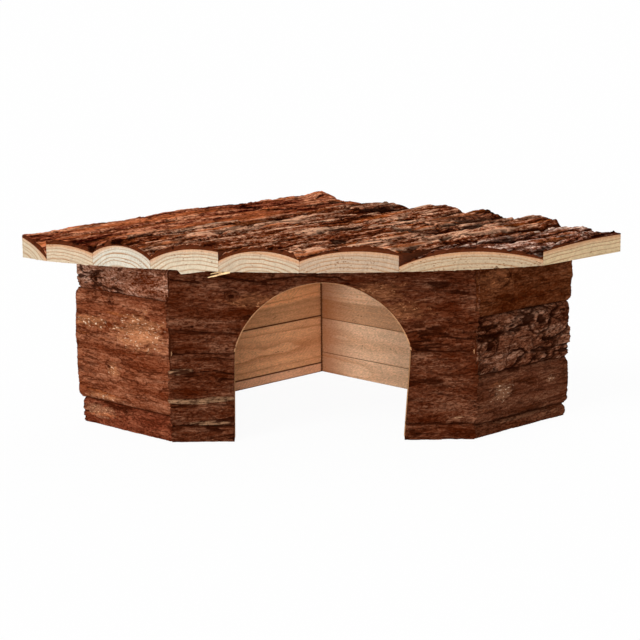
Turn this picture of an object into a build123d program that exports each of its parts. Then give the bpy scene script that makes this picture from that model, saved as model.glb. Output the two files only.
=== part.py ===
from build123d import *

import os
from dataclasses import dataclass
from math import sqrt

# Corner house for hamsters, built from bark-covered slabs. Millimetres, +Z up, doorway towards -Y.
# Five walls of stacked slabs stand on a pentagonal plan: a right-angled rear corner between two long walls,
# and a front corner cut off by a wall with an arched doorway. There is no floor. The roof is a row of
# half-round slabs, bark side up, that run parallel to the rear left edge.

# ---------------------------------------------------------------- plan of the walls, over the bark
tip_span = 261.0            # between the two side tips
rear_depth = 130.5          # from the line of the tips back to the rear corner
front_width = 157.0         # front wall, corner to corner
front_depth = 48.3          # from the line of the tips forward to the front face
wall_height = 90.5

# ---------------------------------------------------------------- wall slabs
wall_wood = 8.4             # wood of a wall slab at its crown
wall_bark = 2.5             # bark of a wall slab
slab_crown_drop = 2.4       # how far a broad slab's outer face falls back at its long edges
strip_drop_share = 0.07     # a narrow strip falls back only this share of its height
worn_edge_width = 2.4       # bark is worn down along the long edges of wall and roof slabs
worn_edge_drop = 1.2
worn_strip_share = 0.25     # on a narrow strip, each worn edge takes only this share of its height
slight_recess = 0.4         # some slabs are a little thinner, so their face lies behind the wall's face
foot_recess = 0.7
deep_recess = 1.6
slight_tip_cut = 1.0        # and some end short of their tip
left_tip_cut = 3.0
right_tip_cut = 4.0

# Heights of the slabs. The topmost slab of each wall takes what is left of wall_height.
front_foot_height = 8.0
front_middle_height = 38.0
right_side_foot_height = 6.8
right_side_lower_height = 25.5
right_side_middle_height = 30.7
rear_right_foot_height = 12.1
rear_right_lower_height = 21.0
rear_left_foot_height = 5.7
rear_left_lower_height = 28.8
left_side_foot_height = 13.0
left_side_middle_height = 60.0

# ---------------------------------------------------------------- doorway
doorway_width = 90.2        # at the springing of the arch
doorway_header = 8.5        # wood left over the arch's crown
left_post_lean = -0.7       # how far each post leans into the doorway at the floor
right_post_lean = 3.3

# ---------------------------------------------------------------- roof outline
rear_overhang = 15.7        # past both rear walls, square to them
side_overhang = 27.3        # past the tips, sideways
left_side_edge = 20.0       # short sawn edge from the left tip, along the side wall, to the bowed edge
right_side_edge = 63.0      # long sawn edge from the right tip to the bowed front edge
front_overhang = 15.7       # past the front wall, where the bow reaches furthest
bow_offset = 10.0           # the bow's foremost point lies this far right of the middle

# ---------------------------------------------------------------- roof slabs
roof_bark = 2.6             # between the plates
roof_joint_gap = 0.2        # hairline between neighbouring roof slabs

# One value for each slab, from the rear left edge to the right side edge. The first slab ends on the left
# side edge, the seventh takes what is left of the front edge, and the eighth is a wedge on the right side.
roof_front_widths = (25.8, 30.6, 34.9, 40.5, 49.5)              # second to sixth, along X
roof_rear_widths = (18.9, 30.8, 28.2, 39.9, 32.5, 33.5, 20.6)   # first to seventh, along the edge
roof_left_heights = (10.6, 8.7, 6.3, 4.5, 5.1, 5.5, 2.5, 6.8)   # wood at the slab's left edge
roof_crown_heights = (7.0, 9.3, 10.7, 10.7, 10.4, 10.6, 8.8, 8.7)
roof_crown_offsets = (10.2, 9.0, 11.2, 19.2, 14.0, 21.0, 23.7, 8.0)     # from the left edge
roof_right_heights = (0.8, 6.3, 3.8, 9.7, 5.5, 7.5, 3.4, 9.2)
roof_right_offsets = (20.3, 27.3, 30.9, 32.0, 33.1, 35.4, 38.4, 17.4)   # where those heights are measured

# ---------------------------------------------------------------- plates of bark on the roof
thin_plate = 0.7            # how far a plate stands over the bark round it
thick_plate = 1.3
plate_point = 0.2           # share of a plate's length that each of its pointed ends takes
plate_lean = 0.3            # share of a plate's width from one long edge to the point at each end

# The plates of each roof slab. The four numbers are where a plate starts and ends along the slab, and its two
# long edges across it, as shares of the slab from its front left corner.
roof_plates = (
    ((0.06, 0.42, 0.15, 0.60, thin_plate), (0.38, 0.78, 0.50, 0.92, thin_plate),
     (0.68, 0.97, 0.12, 0.62, thick_plate)),
    ((0.04, 0.30, 0.32, 0.74, thin_plate), (0.22, 0.60, 0.08, 0.42, thin_plate),
     (0.44, 0.88, 0.52, 0.92, thin_plate), (0.66, 0.96, 0.10, 0.44, thick_plate)),
    ((0.05, 0.42, 0.10, 0.48, thick_plate), (0.12, 0.38, 0.60, 0.90, thin_plate),
     (0.36, 0.74, 0.54, 0.92, thin_plate), (0.48, 0.84, 0.10, 0.44, thin_plate),
     (0.78, 0.97, 0.34, 0.80, thick_plate)),
    ((0.04, 0.34, 0.12, 0.46, thin_plate), (0.14, 0.50, 0.56, 0.92, thin_plate),
     (0.40, 0.78, 0.14, 0.48, thick_plate), (0.56, 0.94, 0.56, 0.90, thin_plate)),
    ((0.04, 0.32, 0.18, 0.56, thin_plate), (0.20, 0.56, 0.64, 0.92, thin_plate),
     (0.38, 0.74, 0.10, 0.46, thick_plate), (0.62, 0.96, 0.52, 0.88, thick_plate)),
    ((0.08, 0.46, 0.20, 0.62, thick_plate), (0.04, 0.30, 0.70, 0.94, thin_plate),
     (0.36, 0.70, 0.70, 0.94, thin_plate), (0.50, 0.90, 0.12, 0.52, thick_plate)),
    ((0.06, 0.40, 0.08, 0.30, thin_plate), (0.10, 0.56, 0.38, 0.60, thick_plate),
     (0.12, 0.50, 0.68, 0.90, thin_plate), (0.58, 0.94, 0.16, 0.56, thick_plate)),
    ((0.34, 0.88, 0.20, 0.70, thin_plate),))

# ---------------------------------------------------------------- corner posts and nails
post_face = 16.0            # width of a corner post's face against each wall
post_edge = 9.0             # thickness of the post at the far edge of each of those faces
brad_diameter = 1.2
brad_clearance = 0.05       # radial, between a brad and its hole
short_brad_length = 18.0    # down through the roof, and into the corner posts
long_brad_length = 25.0     # into the ends of the walls, and sideways through roof slabs
brad_sink = 1.0             # heads are punched this far under the surface
roof_brad_sink = 1.5
corner_brad_inset = 13.0    # from a front corner to the brads into the post
edge_brad_height = 1.6      # brads driven sideways into the outermost roof slabs, above the wall tops
low_brad_share = 0.35       # height of a slab's lower brad, as a share of the slab
high_brad_share = 0.75      # height of a broad slab's upper brad
broad_slab = 30.0           # slabs broader than this get two brads at each end
roof_brad_run = 14.0        # a roof slab that crosses a wall over at least this length gets two brads
one_brad_places = (0.5,)    # places of a roof slab's brads along such a crossing, as shares of it
two_brad_places = (0.25, 0.75)
header_cover = 1.0          # wood left between a roof brad's point and the doorway
edge_brad_places_left = (1 / 6, 1 / 2, 5 / 6)
edge_brad_places_right = (1 / 6, 1 / 2)


@dataclass
class Slab:
    """A wall slab: its height, how far its face lies behind the wall's face, and a cut-back at the tip."""

    name: str
    height: float
    recess: float = 0.0
    tip_cut: float = 0.0


@dataclass
class RoofSlab:
    """A roof slab: its wood's height at the left edge, at the crown and towards the right edge, and its plates."""

    name: str
    left_height: float
    crown_height: float
    crown_offset: float     # from the left edge
    right_height: float
    right_offset: float     # from the left edge
    plates: tuple


rest = 0.0      # the height of a topmost slab, which takes what is left
front_slabs = [Slab("foot", front_foot_height, foot_recess), Slab("middle", front_middle_height),
               Slab("header", rest, slight_recess)]
right_side_slabs = [Slab("foot", right_side_foot_height, deep_recess, right_tip_cut),
                    Slab("lower", right_side_lower_height, slight_recess, slight_tip_cut),
                    Slab("middle", right_side_middle_height), Slab("top", rest)]
rear_right_slabs = [Slab("foot", rear_right_foot_height, foot_recess),
                    Slab("lower", rear_right_lower_height), Slab("top", rest, slight_recess)]
rear_left_slabs = [Slab("foot", rear_left_foot_height, foot_recess),
                   Slab("lower", rear_left_lower_height), Slab("top", rest, slight_recess)]
left_side_slabs = [Slab("foot", left_side_foot_height, foot_recess, left_tip_cut),
                   Slab("middle", left_side_middle_height), Slab("top", rest, slight_recess, slight_tip_cut)]
roof_slabs = [RoofSlab(f"roof_slab_{number}", *sizes) for number, sizes in enumerate(
    zip(roof_left_heights, roof_crown_heights, roof_crown_offsets, roof_right_heights, roof_right_offsets,
        roof_plates), start=1)]

# ---------------------------------------------------------------- worked out from the sizes above
doorway_height = wall_height - doorway_header
wall_total = wall_wood + wall_bark
brad_radius = brad_diameter / 2
beyond = 60.0               # how far cutting shapes run past the wood
up = Vector(0, 0, 1)


# ---------------------------------------------------------------- plan geometry
class Line2:
    """An endless line in plan through two points, with its left side as the positive side."""

    def __init__(self, start, end):
        self.start = Vector(start)
        self.end = Vector(end)
        self.along = (self.end - self.start).normalized()
        self.left = Vector(-self.along.Y, self.along.X, 0)
        self.length = (self.end - self.start).length

    def shifted(self, distance):
        """The same line moved to its left."""
        return Line2(self.start + self.left * distance, self.end + self.left * distance)

    def side(self, point):
        """How far a point lies to the left of the line."""
        return (point - self.start).dot(self.left)

    def meet(self, other):
        """Where this line crosses another one."""
        slope = self.along.dot(other.left)
        return self.start - self.along * (other.side(self.start) / slope)


def prism(points, low, high):
    """A plan polygon raised from one level to another."""
    face = make_face(Polyline(*[(p.X, p.Y, low) for p in points], close=True))
    return extrude(face, high - low, dir=up)


front_left = Vector(-front_width / 2, -front_depth)
front_right = Vector(front_width / 2, -front_depth)
right_tip = Vector(tip_span / 2, 0)
left_tip = Vector(-tip_span / 2, 0)
rear_corner = Vector(0, rear_depth)

# The walls go round anticlockwise, so that the inside is on the left of each outer line.
front_line = Line2(front_left, front_right)
right_side_line = Line2(front_right, right_tip)
rear_right_line = Line2(right_tip, rear_corner)
rear_left_line = Line2(rear_corner, left_tip)
left_side_line = Line2(left_tip, front_left)


@dataclass
class Wall:
    """A wall: its outer line, its slabs, and the plan lines that its two ends are cut along."""

    name: str
    line: Line2
    slabs: list
    start_cut: Line2
    end_cut: Line2
    start_is_tip: bool = False
    end_is_tip: bool = False

    def levels(self):
        """The slabs with the height of their lower and upper edges."""
        low = 0.0
        for slab in self.slabs:
            high = wall_height if slab.height == rest else low + slab.height
            yield slab, low, high
            low = high

    def footprint(self, slab):
        """The plan polygon of one slab, wider than the slab towards the outside."""
        start_trim = slab.tip_cut if self.start_is_tip else 0.0
        end_trim = slab.tip_cut if self.end_is_tip else 0.0
        outer = self.line
        inner = self.line.shifted(wall_total)
        return [outer.meet(self.start_cut) + outer.along * start_trim,
                outer.meet(self.end_cut) - outer.along * end_trim,
                inner.meet(self.end_cut) - outer.along * end_trim,
                inner.meet(self.start_cut) + outer.along * start_trim]


def mitre(first, second):
    """The plan line that halves the corner between two walls, from the outer to the inner corner."""
    return Line2(first.meet(second), first.shifted(wall_total).meet(second.shifted(wall_total)))


left_mitre = mitre(left_side_line, front_line)
right_mitre = mitre(front_line, right_side_line)

# At the tips the side walls run through and the rear walls butt against their inner faces.
# At the rear corner the right wall runs through and the left one butts against it.
walls = [
    Wall("front", front_line, front_slabs, left_mitre, right_mitre),
    Wall("right_side", right_side_line, right_side_slabs, right_mitre, rear_right_line, end_is_tip=True),
    Wall("rear_right", rear_right_line, rear_right_slabs, right_side_line.shifted(wall_total),
         rear_left_line),
    Wall("rear_left", rear_left_line, rear_left_slabs, rear_right_line.shifted(wall_total),
         left_side_line.shifted(wall_total)),
    Wall("left_side", left_side_line, left_side_slabs, rear_left_line, left_mitre, start_is_tip=True),
]


def wood_section(low, high, face_depth, back_depth, drop):
    """The cross-section of a slab's wood: depth inwards and height, with a bowed front."""
    middle = (low + high) / 2
    front = ThreePointArc((face_depth + drop, low), (face_depth, middle), (face_depth + drop, high))
    back = Polyline(front @ 1, (back_depth, high), (back_depth, low), front @ 0)
    return make_face(Curve() + [front] + list(back.edges()))


def bark_section(low, high, face_depth, back_depth, drop):
    """The cross-section of a slab's bark: bowed on both sides, and worn down along its long edges."""
    middle = (low + high) / 2
    worn = min(worn_edge_width, worn_strip_share * (high - low))
    shoulder = face_depth + drop * (1 - 2 * worn / (high - low)) ** 2
    edge = face_depth + drop + worn_edge_drop
    front = ThreePointArc((shoulder, low + worn), (face_depth, middle), (shoulder, high - worn))
    back = ThreePointArc((back_depth + drop, high), (back_depth, middle), (back_depth + drop, low))
    upper = Polyline(front @ 1, (edge, high), back @ 0)
    lower = Polyline(back @ 1, (edge, low), front @ 0)
    return make_face(Curve() + [front] + list(upper.edges()) + [back] + list(lower.edges()))


def wall_slab(wall, slab, low, high):
    """The wood and the bark of one slab of a wall."""
    drop = min(slab_crown_drop, strip_drop_share * (high - low))
    bark_face = slab.recess
    wood_face = slab.recess + wall_bark
    frame = Plane(origin=wall.line.start - wall.line.along * beyond, x_dir=wall.line.left,
                  z_dir=wall.line.along)
    run = wall.line.length + 2 * beyond
    room = prism(wall.footprint(slab), low, high)
    wood = extrude(frame * wood_section(low, high, wood_face, wall_total, drop), run)
    bark = extrude(frame * bark_section(low, high, bark_face, wood_face, drop), run)
    return wood & room, bark & room


def springing():
    """The level where the doorway's arch starts: the lower edge of the header."""
    return next(low for slab, low, high in walls[0].levels() if slab.name == "header")


def doorway_tool():
    """The doorway as a solid: leaning posts below the springing, one arc above it."""
    half = doorway_width / 2
    spring = springing()
    arch = ThreePointArc((half, 0, spring), (0, 0, doorway_height), (-half, 0, spring))
    jambs = Polyline((-half, 0, spring), (-half + left_post_lean, 0, 0), (-half + left_post_lean, 0, -1),
                     (half - right_post_lean, 0, -1), (half - right_post_lean, 0, 0), (half, 0, spring))
    face = make_face(Curve() + [arch] + list(jambs.edges()))
    return Pos(0, -front_depth - beyond, 0) * extrude(face, 2 * beyond, dir=(0, 1, 0))


def arch_level(x):
    """Height of the doorway's arch above the floor at a place across the front wall."""
    half = doorway_width / 2
    rise = doorway_height - springing()
    radius = (half ** 2 + rise ** 2) / (2 * rise)
    if abs(x) >= min(half, radius):
        return 0.0
    return doorway_height - radius + sqrt(radius ** 2 - x ** 2)


# ---------------------------------------------------------------- roof outline and joints
roof_rear_left = rear_left_line.shifted(-rear_overhang)
roof_rear_right = rear_right_line.shifted(-rear_overhang)
left_bound = Line2((-tip_span / 2 - side_overhang, 0), (-tip_span / 2 - side_overhang, 1))
right_bound = Line2((tip_span / 2 + side_overhang, 0), (tip_span / 2 + side_overhang, 1))
roof_left_tip = roof_rear_left.meet(left_bound)
roof_right_tip = roof_rear_right.meet(right_bound)
roof_rear_corner = roof_rear_left.meet(roof_rear_right)
roof_left_corner = roof_left_tip + left_side_line.along * left_side_edge
roof_right_corner = roof_right_tip - right_side_line.along * right_side_edge
bow_point = Vector(bow_offset, -front_depth - front_overhang)
bow = ThreePointArc(roof_left_corner, bow_point, roof_right_corner)


def roof_outline():
    """The roof's sawn outline, raised through the whole roof."""
    straight = Polyline(roof_right_corner, roof_right_tip, roof_rear_corner, roof_left_tip, roof_left_corner)
    face = make_face(Curve() + [bow] + list(straight.edges()))
    return Pos(0, 0, wall_height) * extrude(face, beyond, dir=up)


def bow_level(x):
    """Where the bowed front edge lies at a place across the roof."""
    centre = bow.arc_center
    return centre.Y - sqrt(bow.radius ** 2 - (x - centre.X) ** 2)


def roof_joints():
    """The plan lines between the roof slabs, front to rear, with the roof's two sawn sides outermost."""
    lines = [Line2(roof_left_tip, roof_rear_corner)]
    front_places = [roof_left_corner.X + sum(roof_front_widths[:n]) for n in range(1, len(roof_slabs) - 2)]
    front_ends = [Vector(place, bow_level(place)) for place in front_places]
    front_ends = [roof_left_corner] + front_ends + [roof_right_corner]
    for number, front_end in enumerate(front_ends, start=1):
        rear_end = roof_rear_corner - roof_rear_right.along * sum(roof_rear_widths[:number])
        lines.append(Line2(front_end, rear_end))
    lines.append(Line2(roof_right_corner, roof_right_tip))
    return lines


class Crown:
    """The round of a roof slab's wood: a circle through its two edges and its crown, in its section."""

    def __init__(self, slab):
        x1, x2 = slab.crown_offset, slab.right_offset
        y0, y1, y2 = slab.left_height, slab.crown_height, slab.right_height
        square1 = x1 ** 2 + y1 ** 2 - y0 ** 2
        square2 = x2 ** 2 + y2 ** 2 - y0 ** 2
        twist = 2 * (x1 * (y2 - y0) - x2 * (y1 - y0))
        self.across = (square1 * (y2 - y0) - square2 * (y1 - y0)) / twist
        self.height = (x1 * square2 - x2 * square1) / twist
        self.radius = sqrt(self.across ** 2 + (y0 - self.height) ** 2)

    def level(self, across):
        """Height of the wood above the wall tops at a distance from the slab's left edge."""
        return self.height + sqrt(max(self.radius ** 2 - (across - self.across) ** 2, 0))

    def log(self, joint, growth):
        """A round log along the slab, whose upper side is the slab's face."""
        run = joint.length + 2 * beyond
        axis_start = joint.start - joint.along * beyond - joint.left * self.across
        base = Plane(origin=axis_start + up * (wall_height + self.height), z_dir=joint.along)
        return extrude(base * Circle(self.radius + growth), run)


def plate_corners(left_joint, right_joint, start, end, near, far):
    """The plan corners of a plate of bark, pointed at both ends, from shares of its slab."""
    point = plate_point * (end - start)
    lean = plate_lean * (far - near)
    places = [(start, near + lean), (start + point, far), (end - point, far), (end, far - lean),
              (end - point, near), (start + point, near)]
    corners = []
    for along, across in places:
        front = left_joint.start + (right_joint.start - left_joint.start) * across
        rear = left_joint.end + (right_joint.end - left_joint.end) * across
        corners.append(front + (rear - front) * along)
    return corners


def strip(left_joint, right_joint, inset, outline):
    """The room between two joints, less an inset at each, inside the roof's outline."""
    left = left_joint.shifted(-inset)
    right = right_joint.shifted(inset)
    corners = [left.start - left.along * beyond, right.start - right.along * beyond,
               right.end + right.along * beyond, left.end + left.along * beyond]
    if left.side(corners[1]) > 0:
        corners = [left.meet(right)] + corners[2:]
    return prism(corners, wall_height, wall_height + beyond) & outline


def roof_slab(slab, left_joint, right_joint, outline):
    """The wood and the bark of one roof slab, sawn to the roof's outline."""
    room = strip(left_joint, right_joint, roof_joint_gap / 2, outline)
    sound = strip(left_joint, right_joint, worn_edge_width, outline)
    crown = Crown(slab)
    core = crown.log(left_joint, 0)
    wood = room & core
    bark = (room & crown.log(left_joint, roof_bark - worn_edge_drop)) + (
        sound & crown.log(left_joint, roof_bark))
    for *shares, rise in slab.plates:
        plate = prism(plate_corners(left_joint, right_joint, *shares), wall_height, wall_height + beyond)
        bark += room & plate & crown.log(left_joint, roof_bark + rise)
    return wood, bark - core


# ---------------------------------------------------------------- nails
@dataclass
class Brad:
    """A headless nail: where its head end lies, which way it points, and how deep its hole starts."""

    head: Vector
    direction: Vector
    length: float
    hole_lead: float

    def body(self):
        """The brad itself."""
        return extrude(Plane(origin=self.head, z_dir=self.direction) * Circle(brad_radius), self.length)

    def hole(self):
        """The hole that it leaves, from outside the bark down to its point."""
        start = self.head - self.direction * self.hole_lead
        run = self.hole_lead + self.length
        return extrude(Plane(origin=start, z_dir=self.direction) * Circle(brad_radius + brad_clearance), run)


def brad_levels(low, high):
    """Heights of the brads at one end of a slab."""
    yield low + low_brad_share * (high - low)
    if high - low > broad_slab:
        yield low + high_brad_share * (high - low)


def end_brads():
    """Brads through the walls into the ends of the walls that butt on them."""
    by_name = {wall.name: wall for wall in walls}
    depth = wall_bark + wall_wood / 2
    # nailed through, wall that butts on it, and whether it butts with its start
    butts = [("rear_right", "rear_left", True), ("left_side", "rear_left", False),
             ("right_side", "rear_right", True)]
    for through, butting, at_start in butts:
        outer = by_name[through].line
        middle = by_name[butting].line.shifted(depth)
        entry = outer.shifted(wall_bark + brad_sink).meet(middle)
        direction = middle.along if at_start else -middle.along
        for slab, low, high in by_name[butting].levels():
            for level in brad_levels(low, high):
                yield Brad(entry + up * level, direction, long_brad_length, 2 * wall_bark + brad_sink)


def post_brads():
    """Brads through the walls into the front corner posts."""
    by_name = {wall.name: wall for wall in walls}
    corners = [("front", front_left, 1), ("front", front_right, -1), ("right_side", front_right, 1),
               ("left_side", front_left, -1)]
    for name, corner, way in corners:
        line = by_name[name].line
        entry = corner + line.along * (way * corner_brad_inset) + line.left * (wall_bark + brad_sink)
        for slab, low, high in by_name[name].levels():
            for level in brad_levels(low, high):
                yield Brad(entry + up * level, line.left, short_brad_length, 2 * wall_bark + brad_sink)


def covered_run(segment, left_joint, right_joint):
    """The stretch of a wall's centre line that lies under one roof slab, as two distances along it."""
    low, high = 0.0, segment.length
    for line, wanted in ((left_joint, -1), (right_joint, 1)):
        at_start = wanted * line.side(segment.start)
        at_end = wanted * line.side(segment.end)
        if at_start < 0 and at_end < 0:
            return None
        crossing = segment.length * at_start / (at_start - at_end) if at_start != at_end else 0.0
        if at_start < 0:
            low = max(low, crossing)
        if at_end < 0:
            high = min(high, crossing)
    return (low, high) if high - low > roof_brad_run / 2 else None


def roof_brads(joints):
    """Brads down through the roof slabs into the wall tops, wherever an inner slab crosses a wall."""
    depth = wall_bark + wall_wood / 2
    for wall in walls:
        inner_start = wall.line.shifted(depth).meet(wall.start_cut)
        inner_end = wall.line.shifted(depth).meet(wall.end_cut)
        centre = Line2(inner_start + wall.line.along * depth, inner_end - wall.line.along * depth)
        for slab, left, right in list(zip(roof_slabs, joints, joints[1:]))[1:-1]:
            run = covered_run(centre, left, right)
            if run is None:
                continue
            low, high = run
            shares = two_brad_places if high - low > roof_brad_run else one_brad_places
            for share in shares:
                place = centre.start + centre.along * (low + share * (high - low))
                wood = Crown(slab).level(-left.side(place))
                head = wall_height + wood - roof_brad_sink
                cover = head - short_brad_length - header_cover
                if wall.name == "front" and arch_level(abs(place.X) - brad_diameter) > cover:
                    continue
                lead = roof_brad_sink + 2 * roof_bark
                yield Brad(place + up * head, -up, short_brad_length, lead)


def edge_brads(joints):
    """Brads driven sideways through the outermost roof slabs into their neighbours."""
    first, last = joints[0], joints[-1]
    sides = [(first, edge_brad_places_left, -1), (last, edge_brad_places_right, 1)]
    for edge, places, way in sides:
        for share in places:
            place = edge.end - edge.along * (share * edge.length)
            head = place + edge.left * (way * brad_sink) + up * (wall_height + edge_brad_height)
            yield Brad(head, edge.left * way, long_brad_length, 2 * brad_sink)


# ---------------------------------------------------------------- corner posts
def corner_post(first, second):
    """An upright batten, bevelled on two faces to fit the blunt inner corner between two walls."""
    inner_first = first.shifted(wall_total)
    inner_second = second.shifted(wall_total)
    corner = inner_first.meet(inner_second)
    on_first = corner - first.along * post_face
    on_second = corner + second.along * post_face
    far_edge = [on_second + second.left * post_edge, on_first + first.left * post_edge]
    return prism([corner, on_second] + far_edge + [on_first], 0, wall_height)


# ---------------------------------------------------------------- assembly
def build_walls():
    """All wall slabs and their barks, by node name."""
    nodes = {}
    doorway = doorway_tool()
    for wall in walls:
        for slab, low, high in wall.levels():
            wood, bark = wall_slab(wall, slab, low, high)
            for piece, kind in ((wood, "slab"), (bark, "bark")):
                name = f"{wall.name}_{slab.name}_{kind}"
                if wall.name == "front":
                    piece = piece - doorway
                if len(piece.solids()) == 1:
                    nodes[name] = piece
                    continue
                left, right = sorted(piece.solids(), key=lambda solid: solid.center().X)
                nodes[f"{name}_left"] = left
                nodes[f"{name}_right"] = right
    nodes["corner_post_left"] = corner_post(left_side_line, front_line)
    nodes["corner_post_right"] = corner_post(front_line, right_side_line)
    return nodes


def build_roof(joints):
    """All roof slabs and their barks, by node name."""
    nodes = {}
    outline = roof_outline()
    for slab, left, right in zip(roof_slabs, joints, joints[1:]):
        wood, bark = roof_slab(slab, left, right, outline)
        nodes[slab.name] = wood
        nodes[slab.name.replace("slab", "bark")] = bark
    return nodes


def touches(one, other):
    """Whether the boxes of two shapes meet."""
    a, b = one.bounding_box(), other.bounding_box()
    return all(getattr(a.min, k) <= getattr(b.max, k) and getattr(b.min, k) <= getattr(a.max, k)
               for k in "XYZ")


def main():
    """Build every node, drill it for the brads, and write it with the origin under the middle."""
    joints = roof_joints()
    nodes = build_walls()
    nodes.update(build_roof(joints))
    groups = {"long_brads": list(end_brads()) + list(edge_brads(joints)),
              "short_brads": list(post_brads()) + list(roof_brads(joints))}
    holes = [brad.hole() for brads in groups.values() for brad in brads]
    for name, shape in nodes.items():
        near = [hole for hole in holes if touches(shape, hole)]
        if near:
            nodes[name] = shape - near
    for name, brads in groups.items():
        nodes[name] = Compound([brad.body() for brad in brads])
    box = Compound([solid for shape in nodes.values() for solid in shape.solids()]).bounding_box()
    centre = Pos(-(box.min.X + box.max.X) / 2, -(box.min.Y + box.max.Y) / 2, -box.min.Z)
    os.makedirs("parts", exist_ok=True)
    for name, shape in nodes.items():
        placed = centre * shape
        placed.label = name
        export_step(placed, f"parts/{name}.step")
    size = box.size
    print(f"{len(nodes)} nodes, {size.X:.1f} x {size.Y:.1f} x {size.Z:.1f} mm")
    print(f"moved by {centre.position.X:.3f}, {centre.position.Y:.3f}")
    print(f"{len(groups['long_brads'])} long brads, {len(groups['short_brads'])} short brads")


main()
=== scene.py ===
"""Looks of the corner house for hamsters: bark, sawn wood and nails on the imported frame, in a studio."""

import logging
import math
from collections.abc import Callable, Iterator
from dataclasses import dataclass, field, replace
from enum import Enum
from typing import Any, Union

import bpy
from mathutils import Matrix, Vector


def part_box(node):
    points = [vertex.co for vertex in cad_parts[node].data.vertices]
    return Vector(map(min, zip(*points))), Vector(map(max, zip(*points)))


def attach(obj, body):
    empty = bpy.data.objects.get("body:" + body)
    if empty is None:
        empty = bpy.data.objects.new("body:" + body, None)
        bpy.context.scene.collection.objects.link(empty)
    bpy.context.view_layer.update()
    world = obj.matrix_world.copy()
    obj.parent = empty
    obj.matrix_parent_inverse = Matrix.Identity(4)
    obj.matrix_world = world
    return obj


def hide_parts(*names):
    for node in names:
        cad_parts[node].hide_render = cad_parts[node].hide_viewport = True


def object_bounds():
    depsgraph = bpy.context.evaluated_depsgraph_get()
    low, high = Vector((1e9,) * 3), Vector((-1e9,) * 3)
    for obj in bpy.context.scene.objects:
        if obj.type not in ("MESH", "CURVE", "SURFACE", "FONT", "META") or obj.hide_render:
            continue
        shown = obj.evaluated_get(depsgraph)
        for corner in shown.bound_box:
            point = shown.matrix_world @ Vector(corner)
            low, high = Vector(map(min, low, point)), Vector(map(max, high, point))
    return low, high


log = logging.getLogger("hamster_house")
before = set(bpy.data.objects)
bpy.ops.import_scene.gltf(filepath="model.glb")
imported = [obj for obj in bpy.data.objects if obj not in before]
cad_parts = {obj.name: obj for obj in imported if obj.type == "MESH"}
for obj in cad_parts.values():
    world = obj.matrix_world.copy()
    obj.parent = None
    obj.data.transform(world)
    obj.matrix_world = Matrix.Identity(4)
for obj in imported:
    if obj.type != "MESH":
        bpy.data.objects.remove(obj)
cad_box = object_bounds()

MM = 0.001
ABOVE_ALL = 300.0           # millimetres over the floor, from where rays look down on the frame
BARK_CREASE = 60.0          # degrees: edges sharper than these stay sharp
WOOD_CREASE = 40.0
FACING = 0.9                # least cosine between a face's normal and the way that it faces
Colour = tuple[float, float, float, float]
Piece = bpy.types.Object
Tint = tuple[int, int, int]     # a colour as a screen shows it, 0 to 255
WHITE: Colour = (1.0, 1.0, 1.0, 1.0)
Value = Union["Signal", float, tuple, Vector]


def srgb(red: int, green: int, blue: int) -> Colour:
    """Turns a colour as a screen shows it, 0 to 255, into the linear colour that a shader takes.

    Args:
        red: Red, 0 to 255.
        green: Green.
        blue: Blue.

    Returns:
        The linear colour.
    """
    shares = (channel / 255 for channel in (red, green, blue))
    linear = [s / 12.92 if s <= 0.04045 else ((s + 0.055) / 1.055) ** 2.4 for s in shares]
    return (*linear, 1.0)


# ---------------------------------------------------------------- node trees
def maths(operation: str, first: bool = True) -> Callable[..., "Signal"]:
    """Makes a method of a signal that adds the maths node of one operation.

    Args:
        operation: The node's operation, such as ADD.
        first: Whether the signal is the first operand.

    Returns:
        The method, which takes the other operands.
    """
    def method(self: "Signal", *others: Value) -> "Signal":
        """This signal and the others, joined by the operation."""
        operands = [self, *others] if first else [*others, self]
        kind = "ShaderNodeVectorMath" if any(map(is_vector, operands)) else "ShaderNodeMath"
        return self.tree.add(kind, {"operation": operation}, dict(enumerate(operands)))

    return method


class Signal:
    """An output socket of a node tree, with Python's operators as maths nodes."""

    def __init__(self, tree: "Tree", socket: bpy.types.NodeSocket) -> None:
        """Wraps an output socket of a tree."""
        self.tree = tree
        self.socket = socket

    __add__, __radd__ = maths("ADD"), maths("ADD", first=False)
    __sub__, __rsub__ = maths("SUBTRACT"), maths("SUBTRACT", first=False)
    __mul__, __rmul__ = maths("MULTIPLY"), maths("MULTIPLY", first=False)
    __truediv__, __rtruediv__ = maths("DIVIDE"), maths("DIVIDE", first=False)
    __pow__, __abs__ = maths("POWER"), maths("ABSOLUTE")
    least, most = maths("MINIMUM"), maths("MAXIMUM")
    floor, fraction, root, sine = maths("FLOOR"), maths("FRACT"), maths("SQRT"), maths("SINE")


def is_vector(value: Value) -> bool:
    """Whether an operand holds more than one number.

    Args:
        value: The operand.

    Returns:
        True for a vector or a colour.
    """
    if isinstance(value, Signal):
        return value.socket.type in ("VECTOR", "RGBA")
    return not isinstance(value, (int, float))


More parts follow.
